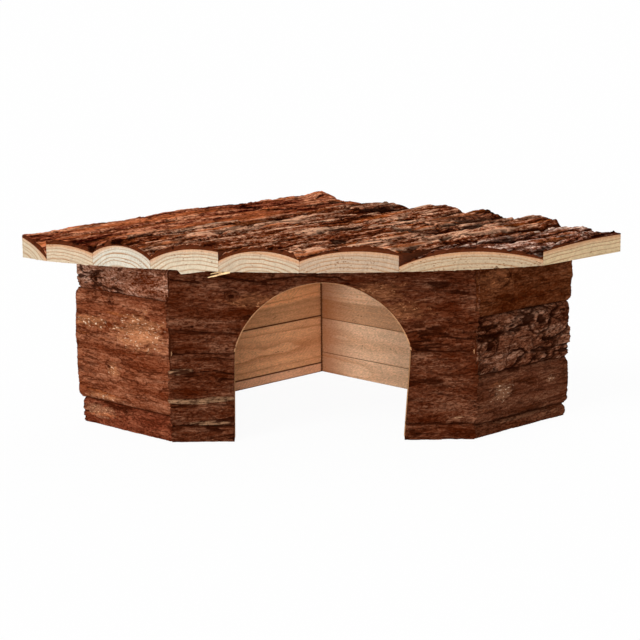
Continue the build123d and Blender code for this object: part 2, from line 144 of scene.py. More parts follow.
class Tree:
    """A node tree that is written as expressions."""

    def __init__(self, nodes: bpy.types.NodeTree) -> None:
        """Wraps a Blender node tree."""
        self.nodes = nodes

    def add(self, kind: str, settings: dict[str, Any] | None = None,
            inputs: dict[Any, Value] | None = None, output: Any = 0) -> Signal:
        """Adds a node.

        Args:
            kind: The node's type.
            settings: Its settings, which are set first. A ramp's stops go under "stops".
            inputs: Values or signals by socket name or number. A colour of three numbers is a tint.
            output: Name or number of the output socket.

        Returns:
            The chosen output.
        """
        node = self.nodes.nodes.new(kind)
        for key, value in (settings or {}).items():
            if key == "stops":
                self._set_stops(node, value)
            else:
                setattr(node, key, value)
        for key, value in (inputs or {}).items():
            socket = node.inputs[key]
            if isinstance(value, Signal):
                self.nodes.links.new(value.socket, socket)
            elif socket.type == "VECTOR" and isinstance(value, (int, float)):
                socket.default_value = (value, value, value)
            elif socket.type == "RGBA" and len(value) == 3:
                socket.default_value = srgb(*value)
            else:
                socket.default_value = value
        return Signal(self, node.outputs[output]) if node.outputs else Signal(self, None)

    def _set_stops(self, node: bpy.types.Node, stops: list[tuple[float, Tint]]) -> None:
        """Gives a colour ramp its stops.

        Args:
            node: The ramp's node.
            stops: Places from 0 to 1 with their tints.
        """
        elements = node.color_ramp.elements
        while len(elements) > 1:
            elements.remove(elements[-1])
        elements[0].position = stops[0][0]
        for place, _ in stops[1:]:
            elements.new(place)
        for element, (_, tint) in zip(elements, stops):
            element.color = srgb(*tint)

    def vector(self, x: Value = 0.0, y: Value = 0.0, z: Value = 0.0) -> Signal:
        """A vector of three values."""
        return self.add("ShaderNodeCombineXYZ", inputs={0: x, 1: y, 2: z})

    def parts(self, vector: Signal) -> tuple[Signal, Signal, Signal]:
        """The three values of a vector."""
        split = self.add("ShaderNodeSeparateXYZ", inputs={0: vector})
        return tuple(Signal(self, socket) for socket in split.socket.node.outputs)

    def noise(self, place: Signal | tuple, detail: float = 2.0, roughness: float = 0.5,
              output: str = "Fac") -> Signal:
        """Cloudy noise from 0 to 1, about one feature for each unit of the place, a vector or its parts.

        Args:
            place: The place.
            detail: How many finer noises are added.
            roughness: How strong the finer noises are.
            output: Fac for one number, Color for three.

        Returns:
            The noise.
        """
        vector = self.vector(*place) if isinstance(place, tuple) else place
        inputs = {"Vector": vector, "Scale": 1.0, "Detail": detail, "Roughness": roughness}
        return self.add("ShaderNodeTexNoise", {"noise_dimensions": "3D"}, inputs, output)

    def cells(self, place: Signal, feature: str = "DISTANCE_TO_EDGE", output: str = "Distance") -> Signal:
        """Cells of about one unit: distance to their edge, or another feature."""
        return self.add("ShaderNodeTexVoronoi", {"feature": feature}, {"Vector": place, "Scale": 1.0}, output)

    def smooth(self, value: Value, low: float, high: float) -> Signal:
        """0 below one value, 1 above another, and a smooth step between them."""
        settings = {"interpolation_type": "SMOOTHSTEP"}
        return self.add("ShaderNodeMapRange", settings, {"Value": value, "From Min": low, "From Max": high})

    def fade(self, value: Value, low: float, high: float) -> Signal:
        """1 below one value, 0 above another, and a smooth step between them."""
        return 1 - self.smooth(value, low, high)

    def blend(self, start: Value, end: Value, share: Value) -> Signal:
        """From one number to another."""
        return start + (end - start) * share

    def tint(self, start: Value, end: Value, share: Value, way: str = "MIX") -> Signal:
        """From one colour to another, or another way of mixing them."""
        settings = {"data_type": "RGBA", "blend_type": way}
        return self.add("ShaderNodeMix", settings, {0: share, 6: start, 7: end}, 2)

    def shaded(self, colour: Value, tone: Signal) -> Signal:
        """A colour times a tone."""
        return self.tint(colour, self.vector(tone, tone, tone), 1.0, "MULTIPLY")

    def ramp(self, value: Signal, stops: list[tuple[float, Tint]]) -> Signal:
        """The colour at a value, between stops."""
        return self.add("ShaderNodeValToRGB", {"stops": stops}, {0: value}, "Color")

    def other(self, signal: Signal, output: str) -> Signal:
        """Another output of the node that a signal comes from."""
        return Signal(self, signal.socket.node.outputs[output])


class Modifier(Tree):
    """A geometry tree that is run on a piece as a modifier and applied."""

    def __init__(self, name: str) -> None:
        """Makes an empty tree that passes its mesh through.

        Args:
            name: The tree's name.
        """
        super().__init__(bpy.data.node_groups.new(name, "GeometryNodeTree"))
        self.nodes.interface.new_socket("Geometry", in_out="INPUT", socket_type="NodeSocketGeometry")
        self.nodes.interface.new_socket("Geometry", in_out="OUTPUT", socket_type="NodeSocketGeometry")
        self.mesh = self.add("NodeGroupInput")
        self.place = self.add("GeometryNodeInputPosition")

    def store(self, name: str, value: Signal) -> None:
        """Keeps a number at each point of the mesh, under a name."""
        inputs = {"Geometry": self.mesh, "Name": name, "Value": value}
        self.mesh = self.add("GeometryNodeStoreNamedAttribute", {"data_type": "FLOAT"}, inputs)

    def move(self, place: Signal) -> None:
        """Puts each point in a new place, given in millimetres, and no further out than the frame.

        Args:
            place: The new place of each point.
        """
        low, high = cad_box
        inside = (place * MM).most(Vector(low)).least(Vector(high))
        self.mesh = self.add("GeometryNodeSetPosition", inputs={"Geometry": self.mesh, "Position": inside})

    def over(self, node: str, place: Signal) -> tuple[Signal, Signal]:
        """Looks down on a solid of the frame.

        Args:
            node: The solid's name.
            place: Plan place in millimetres.

        Returns:
            The level of the solid's top at that place, in millimetres, and 1 where the solid is met.
        """
        solid = self.add("GeometryNodeObjectInfo", {"transform_space": "ORIGINAL"},
                         {"Object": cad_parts[node]}, "Geometry")
        inputs = {"Target Geometry": solid, "Source Position": (place + (0.0, 0.0, ABOVE_ALL)) * MM,
                  "Ray Direction": (0.0, 0.0, -1.0), "Ray Length": 1.0}
        met = self.add("GeometryNodeRaycast", inputs=inputs, output="Is Hit")
        return self.parts(self.other(met, "Hit Position"))[2] * (1 / MM), met

    def soften(self, value: Signal, rounds: int) -> Signal:
        """Evens out a number over the neighbouring points."""
        inputs = {"Value": value, "Iterations": rounds}
        return self.add("GeometryNodeBlurAttribute", {"data_type": "FLOAT"}, inputs)

    def apply(self, piece: Piece) -> None:
        """Runs the tree on a piece and applies it.

        Args:
            piece: The piece.
        """
        self.add("NodeGroupOutput", inputs={0: self.mesh})
        modifier = piece.modifiers.new(self.nodes.name, "NODES")
        modifier.node_group = self.nodes
        apply_modifier(piece, modifier)
        bpy.data.node_groups.remove(self.nodes)


class Shader(Tree):
    """The node tree of a material."""

    def __init__(self, name: str) -> None:
        """Makes a material with an output and nothing else.

        Args:
            name: The material's name.
        """
        self.material = bpy.data.materials.new(name)
        self.material.use_nodes = True
        super().__init__(self.material.node_tree)
        self.nodes.nodes.clear()

    def stored(self, name: str) -> Signal:
        """A number that a modifier has kept on the mesh."""
        return self.add("ShaderNodeAttribute", {"attribute_name": name}, output="Fac")

    def local(self, base: "Base") -> Signal:
        """Object coordinates in millimetres, seen from a base on the piece.

        Args:
            base: The base.

        Returns:
            The place of the point that is shaded.
        """
        place = self.add("ShaderNodeTexCoord", output="Object")
        origin = Vector((base.point.x, base.point.y, base.level)) * MM
        inputs = {"Vector": place, "Location": origin, "Rotation": (0.0, 0.0, base.turn)}
        return self.add("ShaderNodeMapping", {"vector_type": "TEXTURE"}, inputs) * (1 / MM)

    def bump(self, height: Signal, millimetres: float) -> Signal:
        """A normal bent by a height from 0 to 1, which stands for a real depth."""
        return self.add("ShaderNodeBump", inputs={"Height": height, "Distance": millimetres * MM}, output=0)

    def finish(self, **sockets: Value) -> bpy.types.Material:
        """Ends the material in a Principled shader with these sockets, given with _ for a space.

        Args:
            **sockets: Values or signals by socket.

        Returns:
            The material.
        """
        inputs = {key.replace("_", " "): value for key, value in sockets.items()}
        surface = self.add("ShaderNodeBsdfPrincipled", inputs=inputs)
        self.add("ShaderNodeOutputMaterial", inputs={"Surface": surface})
        return self.material


# ---------------------------------------------------------------- modelling
def select_only(piece: Piece) -> None:
    """Makes a piece the active and only selected one.

    Args:
        piece: The piece.
    """
    bpy.ops.object.select_all(action="DESELECT")
    bpy.context.view_layer.objects.active = piece
    piece.select_set(True)


def apply_modifier(piece: Piece, modifier: bpy.types.Modifier) -> None:
    """Applies one modifier of a piece."""
    select_only(piece)
    bpy.ops.object.modifier_apply(modifier=modifier.name)


def select_facing(piece: Piece, way: Vector) -> None:
    """Selects the faces of a piece that face one way, and enters edit mode.

    Args:
        piece: The piece.
        way: The direction, one unit long.
    """
    bpy.ops.object.mode_set(mode="EDIT")
    bpy.ops.mesh.select_mode(type="FACE")
    bpy.ops.mesh.select_all(action="DESELECT")
    bpy.ops.object.mode_set(mode="OBJECT")
    for face in piece.data.polygons:
        face.select = face.normal.dot(way) > FACING
    bpy.ops.object.mode_set(mode="EDIT")


class Side(Enum):
    """A side of a block, with the direction that it faces."""

    TOP = (0, 0, 1)
    START = (-1, 0, 0)


BARK_CUTS = {Side.TOP: 5}
ROOF_WOOD_CUTS = {Side.START: 3}


def block(name: str, cells: tuple[int, int], rows: int = 1,
          fine: dict[Side, int] | None = None) -> Piece:
    """Models a closed block from 0 to 1 each way, cut into cells.

    Args:
        name: The piece's name.
        cells: Cells along and across.
        rows: Rows of cells between the underside and the top.
        fine: Further cuts of each cell on some sides.

    Returns:
        The block, in object mode.
    """
    bpy.ops.object.select_all(action="DESELECT")
    bpy.ops.mesh.primitive_grid_add(x_subdivisions=cells[0], y_subdivisions=cells[1], size=1,
                                    location=(0.5, 0.5, 0.0))
    piece = bpy.context.object
    piece.name = piece.data.name = name
    bpy.ops.object.transform_apply(location=True)
    bpy.ops.object.mode_set(mode="EDIT")
    bpy.ops.mesh.select_all(action="SELECT")
    for _ in range(rows):
        bpy.ops.mesh.extrude_region_move(TRANSFORM_OT_translate={"value": (0, 0, 1 / rows)})
    bpy.ops.object.mode_set(mode="OBJECT")
    for side, cuts in (fine or {}).items():
        select_facing(piece, Vector(side.value))
        bpy.ops.mesh.subdivide(number_cuts=cuts)
        bpy.ops.object.mode_set(mode="OBJECT")
    return piece


def model(name: str, cells: tuple[int, int], form: Callable[..., None], crease: float, rows: int = 1,
          fine: dict[Side, int] | None = None, bevel: float = 0.0) -> Piece:
    """Models a piece from a block.

    Args:
        name: The piece's name.
        cells: The block's cells along and across.
        form: Takes a modifier and the block's three coordinates, keeps numbers on its points and moves them.
        crease: Edges sharper than this angle, in degrees, stay sharp.
        rows: The block's rows of cells.
        fine: Further cuts of each cell on some sides.
        bevel: Width of the bevel on sharp edges, in millimetres.

    Returns:
        The piece.
    """
    piece = block(name, cells, rows, fine)
    tree = Modifier(name)
    form(tree, *tree.parts(tree.place))
    tree.apply(piece)
    if bevel:
        worn = piece.modifiers.new("worn edges", "BEVEL")
        worn.width, worn.segments, worn.angle_limit = bevel * MM, 2, math.radians(50)
        apply_modifier(piece, worn)
    select_only(piece)
    bpy.ops.object.shade_smooth_by_angle(angle=math.radians(crease))
    return piece


def clothe(piece: Piece, material: bpy.types.Material) -> None:
    """Makes a material the only one of a piece or a node of the frame.

    Args:
        piece: The piece or node.
        material: The material.
    """
    piece.data.materials.clear()
    piece.data.materials.append(material)
    log.info("%s: %d faces", piece.name, len(piece.data.polygons))


def dress(piece: Piece, material: bpy.types.Material, node: str = "") -> None:
    """Gives a piece its material and slot, and the node of the frame that it stands for, if any.

    Args:
        piece: The piece.
        material: The material.
        node: The node's name.
    """
    clothe(piece, material)
    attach(piece, "root")
    if node:
        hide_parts(node)


# ---------------------------------------------------------------- plan
class Line:
    """An endless line in plan through two points, in millimetres."""

    def __init__(self, start: Vector, end: Vector) -> None:
        """Draws the line.

        Args:
            start: The first point.
            end: The second point.
        """
        self.start = start.copy()
        self.end = end.copy()
        self.along = (end - start).normalized()
        self.left = Vector((-self.along.y, self.along.x))
        self.length = (end - start).length

    def shifted(self, distance: float) -> "Line":
        """The same line moved to its left."""
        return Line(self.start + self.left * distance, self.end + self.left * distance)

    def side(self, point: Vector) -> float:
        """How far a point lies to the left of the line."""
        return (point - self.start).dot(self.left)

    def meet(self, other: "Line") -> Vector:
        """Where this line crosses another one."""
        return self.start - self.along * (other.side(self.start) / self.along.dot(other.left))

    @property
    def turn(self) -> float:
        """The line's direction as an angle from +X."""
        return math.atan2(self.along.y, self.along.x)


@dataclass(frozen=True)
class Base:
    """A place on a piece: a point in plan and a level, in millimetres, with an X axis turned in plan."""

    point: Vector
    level: float
    turn: float


@dataclass
class Plan:
    """The plan of the walls and the roof, in millimetres, from the same driving dimensions as the frame."""

    tip_span: float = 261.0
    rear_depth: float = 130.5
    front_width: float = 157.0
    front_depth: float = 48.3
    wall_height: float = 90.5
    wall_total: float = 10.9
    doorway_width: float = 90.2
    doorway_header: float = 8.5
    rear_overhang: float = 15.7
    side_overhang: float = 27.3
    left_side_edge: float = 20.0
    right_side_edge: float = 63.0
    front_overhang: float = 15.7
    bow_offset: float = 10.0

    def __post_init__(self) -> None:
        """Draws the plan's lines in the frame's place."""
        front_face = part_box("front_middle_bark_left")[0].y / MM
        self.tips_y = front_face + self.front_depth
        half = self.tip_span / 2
        front_left = Vector((-self.front_width / 2, front_face))
        front_right = Vector((self.front_width / 2, front_face))
        right_tip = Vector((half, self.tips_y))
        left_tip = Vector((-half, self.tips_y))
        rear_corner = Vector((0, self.tips_y + self.rear_depth))
        self.front = Line(front_left, front_right)
        self.right_side = Line(front_right, right_tip)
        self.rear_right = Line(right_tip, rear_corner)
        self.rear_left = Line(rear_corner, left_tip)
        self.left_side = Line(left_tip, front_left)
        self._draw_roof(half)

    def _draw_roof(self, half: float) -> None:
        """Draws the roof's corners and the circle of its bowed edge.

        Args:
            half: Half the span between the walls' tips.
        """
        rear_left = self.rear_left.shifted(-self.rear_overhang)
        rear_right = self.rear_right.shifted(-self.rear_overhang)
        edge = half + self.side_overhang
        self.roof_left_tip, self.roof_right_tip = (rear.meet(Line(Vector((x, 0)), Vector((x, 1))))
                                                   for rear, x in ((rear_left, -edge), (rear_right, edge)))
        self.roof_rear_corner = rear_left.meet(rear_right)
        self.roof_rear_way = -rear_right.along
        self.roof_left_corner = self.roof_left_tip + self.left_side.along * self.left_side_edge
        self.roof_right_corner = self.roof_right_tip - self.right_side.along * self.right_side_edge
        bow = Vector((self.bow_offset, self.front.start.y - self.front_overhang))
        self.bow_centre = circle_centre(self.roof_left_corner, bow, self.roof_right_corner)
        self.bow_radius = (bow - self.bow_centre).length

    def bow_level(self, x: float) -> float:
        """Where the roof's bowed edge lies at a place across."""
        return self.bow_centre.y - math.sqrt(self.bow_radius ** 2 - (x - self.bow_centre.x) ** 2)


def circle_centre(a: Vector, b: Vector, c: Vector) -> Vector:
    """The centre of the circle through three points in plan.

    Args:
        a: The first point.
        b: The second point.
        c: The third point.

    Returns:
        The centre.
    """
    first = Line((a + b) / 2, (a + b) / 2 + Line(a, b).left)
    second = Line((b + c) / 2, (b + c) / 2 + Line(b, c).left)
    return first.meet(second)


# ---------------------------------------------------------------- bark
class MarkKind(Enum):
    """What can be seen in a bark besides its growth."""

    KNOT = "knot"
    NAIL_HOLE = "nail hole"
    PLATE = "plate"
    WORN = "worn place"


KNOT, NAIL_HOLE, PLATE, WORN = MarkKind


@dataclass(frozen=True)
class Mark:
    """One mark in a bark, in millimetres along and across the slab from its start and its lower edge."""

    kind: MarkKind
    along: float
    across: float
    half_length: float
    half_width: float


@dataclass
class Surface:
    """A bark's surface as signals: height in millimetres over its mean face, and what its colour needs."""

    height: Signal
    layer: Signal
    # dark of the cracks, partly the inner bark's colour and partly painted shade in them, at the flakes' and
    # plates' feet and in the roof's valleys
    crack: Signal
    grey: Signal
    pale: Signal

    def add_mark(self, tree: Tree, mark: Mark, u: Signal, v: Signal, ragged: Signal) -> None:
        """Works a mark into the surface.

        Args:
            tree: The tree to add to.
            mark: The mark.
            u: Place along the grain.
            v: Place across the grain.
            ragged: Fine noise about 0 that frays the mark's outline.
        """
        off_u, off_v = (u - mark.along) / mark.half_length, (v - mark.across) / mark.half_width
        off = (off_u * off_u + off_v * off_v).root()
        if mark.kind is KNOT:
            off = off + ragged * 0.45
            spot = tree.fade(off, 0.55, 1.1)
            ring = (off * 14 + ragged * 3).sine()
            self.height = self.height * (1 - spot * 0.5) + spot * (1.2 + ring * 0.28)
            self.height = self.height - tree.fade(off, 0.05, 0.4) * 2.0
            self.crack = self.crack.most(tree.fade(off, 0.2, 0.55) * 0.98)
            self.crack = self.crack.most(tree.smooth(ring * -1, 0.35, 0.95) * spot * 0.85)
            self.crack = self.crack.most(tree.fade(abs(off - 1.05), 0.0, 0.2) * 0.8)
        elif mark.kind is NAIL_HOLE:
            self.height = self.height - tree.fade(off, 0.6, 1.0) * 1.5
            self.crack = self.crack.most(tree.fade(off, 0.7, 1.15))
        elif mark.kind is PLATE:
            off = off + ragged * 1.1
            self.height = self.height + tree.fade(off, 0.86, 1.0) * 0.9
            self.crack = self.crack.most(tree.fade(abs(off - 1.03), 0.0, 0.07) * 0.9)
            self.grey = self.grey.most(tree.fade(off, 0.8, 1.0))
        else:
            off = off + ragged * 3.2
            spot = tree.fade(off, 0.5, 1.3)
            self.height = self.height * (1 - spot * 0.5)
            self.crack = self.crack * (1 - spot * 0.6)
            self.pale = self.pale.most(spot)

    def keep(self, tree: "Modifier", seam: Signal, skin: Signal) -> None:
        """Keeps on the mesh what the colour needs.

        Args:
            tree: The modifier.
            seam: 1 in the dark joint beside the bark; on the roof, painted shade in the valleys between the
                boards.
            skin: 0 on the bark's underside, 1 on its face.
        """
        tree.store("layer", self.layer)
        tree.store("crack", self.crack.most(seam))
        tree.store("grey", self.grey)
        tree.store("pale", self.pale)
        tree.store("skin", skin)


@dataclass(frozen=True)
class Grain:
    """A pattern in bark: its length along the grain and width across it, in millimetres, and its strength."""

    length: float
    width: float
    strength: float         # millimetres of height in a growth, contrast in a finish

    def noise(self, tree: Tree, u: Signal, v: Signal, seed: float, detail: float,
              roughness: float = 0.5) -> Signal:
        """Noise of this pattern's size."""
        return tree.noise((u / self.length, v / self.width, seed), detail, roughness)


@dataclass(frozen=True)
class BarkGrowth:
    """How a bark has grown."""

    crack: Grain
    split: Grain
    flake: Grain
    scale: Grain
    ridge: Grain = Grain(75, 10, 0.5)
    fibre: Grain = Grain(8, 0.85, 0.28)
    crack_share: float = 0.55       # share of the cracks that gape
    crack_gape: float = 0.045       # how wide they gape, as a share of the noise that draws them
    flake_steps: float = 4.0
    wander: float = 3.0             # millimetres

    def grow(self, tree: Tree, along: Signal, across: Signal, seed: float,
             marks: tuple[Mark, ...] = ()) -> Surface:
        """Works out the bark's surface.

        Args:
            tree: The tree to add to.
            along: Place along the grain, in millimetres.
            across: Place across the grain, in millimetres.
            seed: Which stretch of bark it is.
            marks: Knots and other marks in it.

        Returns:
            The surface.
        """
        drift = tree.noise((along / 45, across / 16, seed), 4, 0.55, "Color")
        drift_along, drift_across, _ = tree.parts(drift - (0.5, 0.5, 0.5))
        u, v = along + drift_along * (3 * self.wander), across + drift_across * self.wander
        gape = tree.smooth(tree.noise((u / 45, v / 14, seed + 5), 3), 0.7 - 0.4 * self.crack_share,
                           0.8 - 0.4 * self.crack_share)
        line = abs(self.crack.noise(tree, u, v, seed + 7, 4) - 0.5)
        crack = tree.fade(line, self.crack_gape * 0.15, self.crack_gape) * gape
        split = tree.fade(abs(self.split.noise(tree, u, v, seed + 11, 4, 0.6) - 0.5), 0.0, 0.05)
        steps = tree.smooth(self.flake.noise(tree, u, v, seed + 9, 6, 0.6), 0.26, 0.74) * self.flake_steps
        step = steps.fraction()
        layer = (steps.floor() + tree.smooth(step, 0.8, 1.0)) / self.flake_steps
        # painted shade: a dark line at the foot of each flake's ledge, where its undercut lies in shade
        foot = tree.smooth(step, 0.5, 0.8) * tree.fade(step, 0.86, 1.0)
        scale_place = tree.vector(u / self.scale.length, v / self.scale.width, seed + 13)
        scale, _, _ = tree.parts(tree.cells(scale_place, "F1", "Color"))
        scale_edge = tree.fade(tree.cells(scale_place), 0.01, 0.07)
        ridge = self.ridge.noise(tree, u, v, seed + 17, 2) - 0.5
        fibre = self.fibre.noise(tree, u, v, seed + 23, 4, 0.6) - 0.5
        height = (layer - 0.5) * self.flake.strength + (scale - 0.5) * self.scale.strength
        height = height + ridge * (2 * self.ridge.strength) + fibre * (2 * self.fibre.strength)
        height = height - crack * self.crack.strength - split * self.split.strength
        # the dark of cracks, splits and scale edges, with the painted shade at the flakes' feet
        dark = crack.most(split * 0.4).most(foot * 0.6).most(scale_edge * (0.9 * self.scale.strength))
        surface = Surface(height, layer * 0.6 + scale * 0.4, dark, layer * 0, layer * 0)
        ragged = tree.noise((u / 5, v / 1.8, seed + 29), 5, 0.65) - 0.5
        for mark in marks:
            surface.add_mark(tree, mark, u, v, ragged)
        return surface


@dataclass(frozen=True)
class BarkFinish:
    """Colours of a bark, from its cracks to its outermost plates."""

    dark: Tint
    body: Tint
    light: Tint
    warm: Tint = (176, 88, 42)
    grey: Tint = (150, 120, 104)
    pale: Tint = (150, 104, 76)
    # the inner bark's colour, made darker to paint the shade deep in the cracks
    crack: Tint = (26, 7, 2)
    section: Tint = (86, 40, 21)
    bright: Tint = (214, 164, 122)
    warm_share: float = 0.4
    grey_share: float = 0.3
    contrast: float = 1.2
    fibre: Grain = Grain(6, 0.9, 0.8)
    streak: Grain = Grain(34, 4.5, 1)
    grit_size: float = 1.0
    grit_tone: float = 1.0

    def material(self, name: str, base: Base, seed: float) -> bpy.types.Material:
        """Makes the bark's material.

        Args:
            name: The material's name.
            base: Where the grain's coordinates start, with X along the grain.
            seed: Which stretch of bark it is.

        Returns:
            The material.
        """
        tree = Shader(name)
        u, v, w = tree.parts(tree.local(base))
        layer, crack, grey, pale, skin = map(tree.stored, ("layer", "crack", "grey", "pale", "skin"))
        across = v + w + (tree.noise((u / 40, (v + w) / 10, seed + 2), 3) - 0.5) * 4
        fibre = self.fibre.noise(tree, u, across, seed, 5, 0.65)
        streak = self.streak.noise(tree, u, across, seed + 4, 6, 0.65)
        cloud = tree.noise((u / 24, across / 11, seed + 8), 3)
        grit = tree.noise(tree.vector(u / 1.6, across / 1.0, seed + 12) * (1 / self.grit_size), 3, 0.7)
        fleck = tree.fade(abs(tree.noise((u / 5, across / 1.3, seed + 14), 3) - 0.5), 0.0, 0.045)
        tone = (fibre - 0.5) * self.fibre.strength + (streak - 0.5) * self.streak.strength
        tone = tone + (grit - 0.5) * self.grit_tone + (cloud - 0.5) * 0.7
        tone = tone + (layer - 0.5) * 0.5 - fleck * 0.22 + 0.04
        tone = tone * self.contrast + 0.5
        colour = tree.ramp(tone, [(0.1, self.dark), (0.5, self.body), (0.9, self.light)])
        warm = tree.smooth(tree.noise((u / 60, across / 5, seed + 16), 4), 0.72 - 0.32 * self.warm_share,
                           0.8 - 0.32 * self.warm_share)
        colour = tree.tint(colour, self._lit(tree, self.warm, tone), warm * 0.75)
        old = tree.smooth(cloud * 0.8 + layer * 0.5 + (fibre - 0.5) * 0.5, 1.02 - 0.4 * self.grey_share,
                          1.12 - 0.4 * self.grey_share).most(grey)
        colour = tree.tint(colour, self._lit(tree, self.grey, tone), old * 0.85)
        colour = tree.tint(colour, self._lit(tree, self.pale, tone), pale * 0.6)
        shred = tree.smooth(tree.noise((u / 2.2, across / 1.1, seed + 20), 3, 0.7), 0.6, 0.65)
        colour = tree.tint(colour, self.bright, shred * pale * 0.9)
        # cracks painted near black: the inner bark's colour with painted shade in the crevices
        colour = tree.tint(colour, self.crack, tree.smooth(crack, 0.05, 0.85) * 0.93)
        section = self._lit(tree, self.section, 0.5 + (fibre - 0.5) * 0.8)
        section = tree.tint(section, self.crack, tree.smooth(skin, 0.3, 0.9) * 0.35)
        colour = tree.tint(section, colour, tree.smooth(skin, 0.86, 0.99))
        bump = tree.bump(fibre * 0.5 + grit * 0.35 - fleck * 0.4, 0.7)
        return tree.finish(Base_Color=colour, Roughness=0.85 - old * 0.08, Normal=bump,
                           Specular_IOR_Level=0.0)

    def _lit(self, tree: Tree, colour: Tint, tone: Signal) -> Signal:
        """A colour that follows a tone about 0.5."""
        return tree.shaded(colour, tone * 1.1 + 0.45)


# ---------------------------------------------------------------- sawn wood
@dataclass(frozen=True)
class WoodFinish:
    """Sawn softwood: early and late wood, the ring under the bark, specks, the shade in the joints, and
    painted shade towards an inner corner of the house.
    """

    early: Tint
    late: Tint
    rim: Tint
    speck: Tint = (112, 74, 46)
    seam: Tint = (66, 32, 14)
    ring_width: float = 2.0         # millimetres
    ring_strength: float = 0.4
    rim_width: float = 1.4
    speck_share: float = 0.4
    fuzz: float = 0.3
    saw: float = 0.22               # strength of the saw's marks
    under_bark: Tint = (80, 35, 17)
    seam_width: float = 0.0         # millimetres from the slab's long edges
    corner_place: float | None = None           # where along the slab an inner corner of the house lies
    # painted shade: the wood turns darker and warmer towards the inner corner, with a dark line painted where
    # the walls meet
    corner_shade: float = 0.4
    painted_shade_tint: Tint = (150, 84, 40)

    def material(self, name: str, heart: Base, rim_radius: float, seed: float,
                 half_height: float = 99.0) -> bpy.types.Material:
        """Makes the wood's material.

        Args:
            name: The material's name.
            heart: The middle of the log that the slab was cut from, with X along the grain.
            rim_radius: The log's radius under the bark, in millimetres.
            seed: Which piece of wood it is.
            half_height: From the middle of the slab to its long edges, in millimetres.

        Returns:
            The material.
        """
        tree = Shader(name)
        u, v, w = tree.parts(tree.local(heart))
        wander = tree.noise((u / 80, v / 24, w / 24 + seed), 3) - 0.5
        radius = (v * v + w * w).root() + wander * 5
        spread = tree.noise((radius / 3.5, seed, 0.0), 2) * 1.6
        ring = ((rim_radius - radius) / self.ring_width + spread).fraction()
        late = tree.smooth(ring, 0.5, 0.94) * tree.fade(ring, 0.94, 1.0)
        fibre = tree.noise((u / 16, v / 0.7, w / 0.7 + seed), 4, 0.62)
        fuzz = tree.noise((u / 1.5 + w / 1.2, v / 0.6, w / 0.9 + seed), 4, 0.7)
        cloud = tree.noise((u / 34, v / 8, w / 8 + seed), 3)
        colour = tree.tint(self.early, self.late, late * (cloud * 2 * self.ring_strength))
        rim = tree.smooth(radius, rim_radius - self.rim_width * 1.5, rim_radius - self.rim_width * 0.4)
        colour = tree.tint(colour, self.rim, rim * 0.75)
        saw = tree.noise((u / 9, v / 0.5 + w * 0.3, w / 7 + seed), 3, 0.6)
        tone = 1 + (fibre - 0.5) * 0.3 + (fuzz - 0.5) * self.fuzz
        tone = tone + (cloud - 0.5) * 0.25 + (saw - 0.5) * self.saw
        colour = tree.shaded(colour, tone)
        dots = tree.cells(tree.vector(u / 2.6, v / 1.5, w / 1.1 + seed), "F1")
        sparse = tree.smooth(tree.noise((u / 14, v / 8, w / 3 + seed), 2), 0.62 - 0.3 * self.speck_share,
                             0.78 - 0.2 * self.speck_share)
        colour = tree.tint(colour, self.speck, tree.fade(dots, 0.16, 0.36) * sparse * 0.85)
        # painted shade: darker and warmer towards the inner corner, where the walls shade each other
        if self.corner_place is not None:
            away = abs(u - self.corner_place)
            shade = tree.fade(away, 0.0, 34.0) * self.corner_shade
            colour = tree.tint(colour, self.painted_shade_tint, shade)
            # painted shadow: a dark line in the inner corner itself, in the seam colour
            line = tree.fade(away + (fuzz - 0.5) * 2, 0.7, 1.3)
            colour = tree.tint(colour, self.seam, line * 0.95)
        if self.seam_width:
            ragged = abs(w) + (fuzz - 0.5) * 0.8
            seam = tree.smooth(ragged, half_height - self.seam_width, half_height - self.seam_width * 0.3)
            colour = tree.tint(colour, self.seam, seam * 0.9)
        hidden = tree.smooth(tree.stored("hidden"), 0.97, 0.995)
        colour = tree.tint(colour, tree.shaded(self.under_bark, fuzz * 1.6), hidden * 0.97)
        bump = tree.bump(fibre * 0.5 + fuzz * 0.4 + late * 0.2 + saw * 0.3, 0.22)
        return tree.finish(Base_Color=colour, Roughness=0.65, Normal=bump, Specular_IOR_Level=0.0)


# ---------------------------------------------------------------- finishes
ROOF_SMOOTH = BarkGrowth(
    Grain(110, 12, 1.2), Grain(30, 3.5, 0.4), Grain(70, 11, 1.3), Grain(20, 5.5, 0.2),
    fibre=Grain(14, 1.5, 0.3), crack_share=0.5, wander=2.5)
ROOF_ROUGH = BarkGrowth(
    Grain(130, 16, 2), Grain(34, 4.5, 0.6), Grain(90, 13, 2.2), Grain(60, 11, 0.6),
    fibre=Grain(14, 1.5, 0.28), crack_share=0.75, crack_gape=0.06, flake_steps=3.0)
WALL_FINE = BarkGrowth(
    Grain(38, 7, 0.9), Grain(14, 3, 0.3), Grain(34, 6.5, 0.9), Grain(20, 5, 0.15),
    Grain(75, 10, 0.35), Grain(8, 0.85, 0.2), crack_share=0.6)
WALL_SMOOTH = BarkGrowth(
    Grain(60, 9, 0.5), Grain(20, 3.5, 0.18), Grain(60, 11, 0.6), Grain(20, 5.5, 0.08),
    fibre=Grain(8, 0.85, 0.2), crack_share=0.2, crack_gape=0.03, flake_steps=3.0)
WALL_LUMPY = BarkGrowth(
    Grain(20, 8, 0.8), Grain(9, 3, 0.3), Grain(20, 8, 0.8), Grain(20, 5.5, 0.15),
    Grain(24, 10, 0.7), wander=5.0)
WALL_ROUGH = BarkGrowth(
    Grain(22, 9, 1.4), Grain(12, 3.5, 0.4), Grain(22, 8, 1.5), Grain(14, 7, 0.7),
    Grain(30, 10, 0.8), crack_share=0.85, crack_gape=0.06, flake_steps=3.0, wander=5.0)

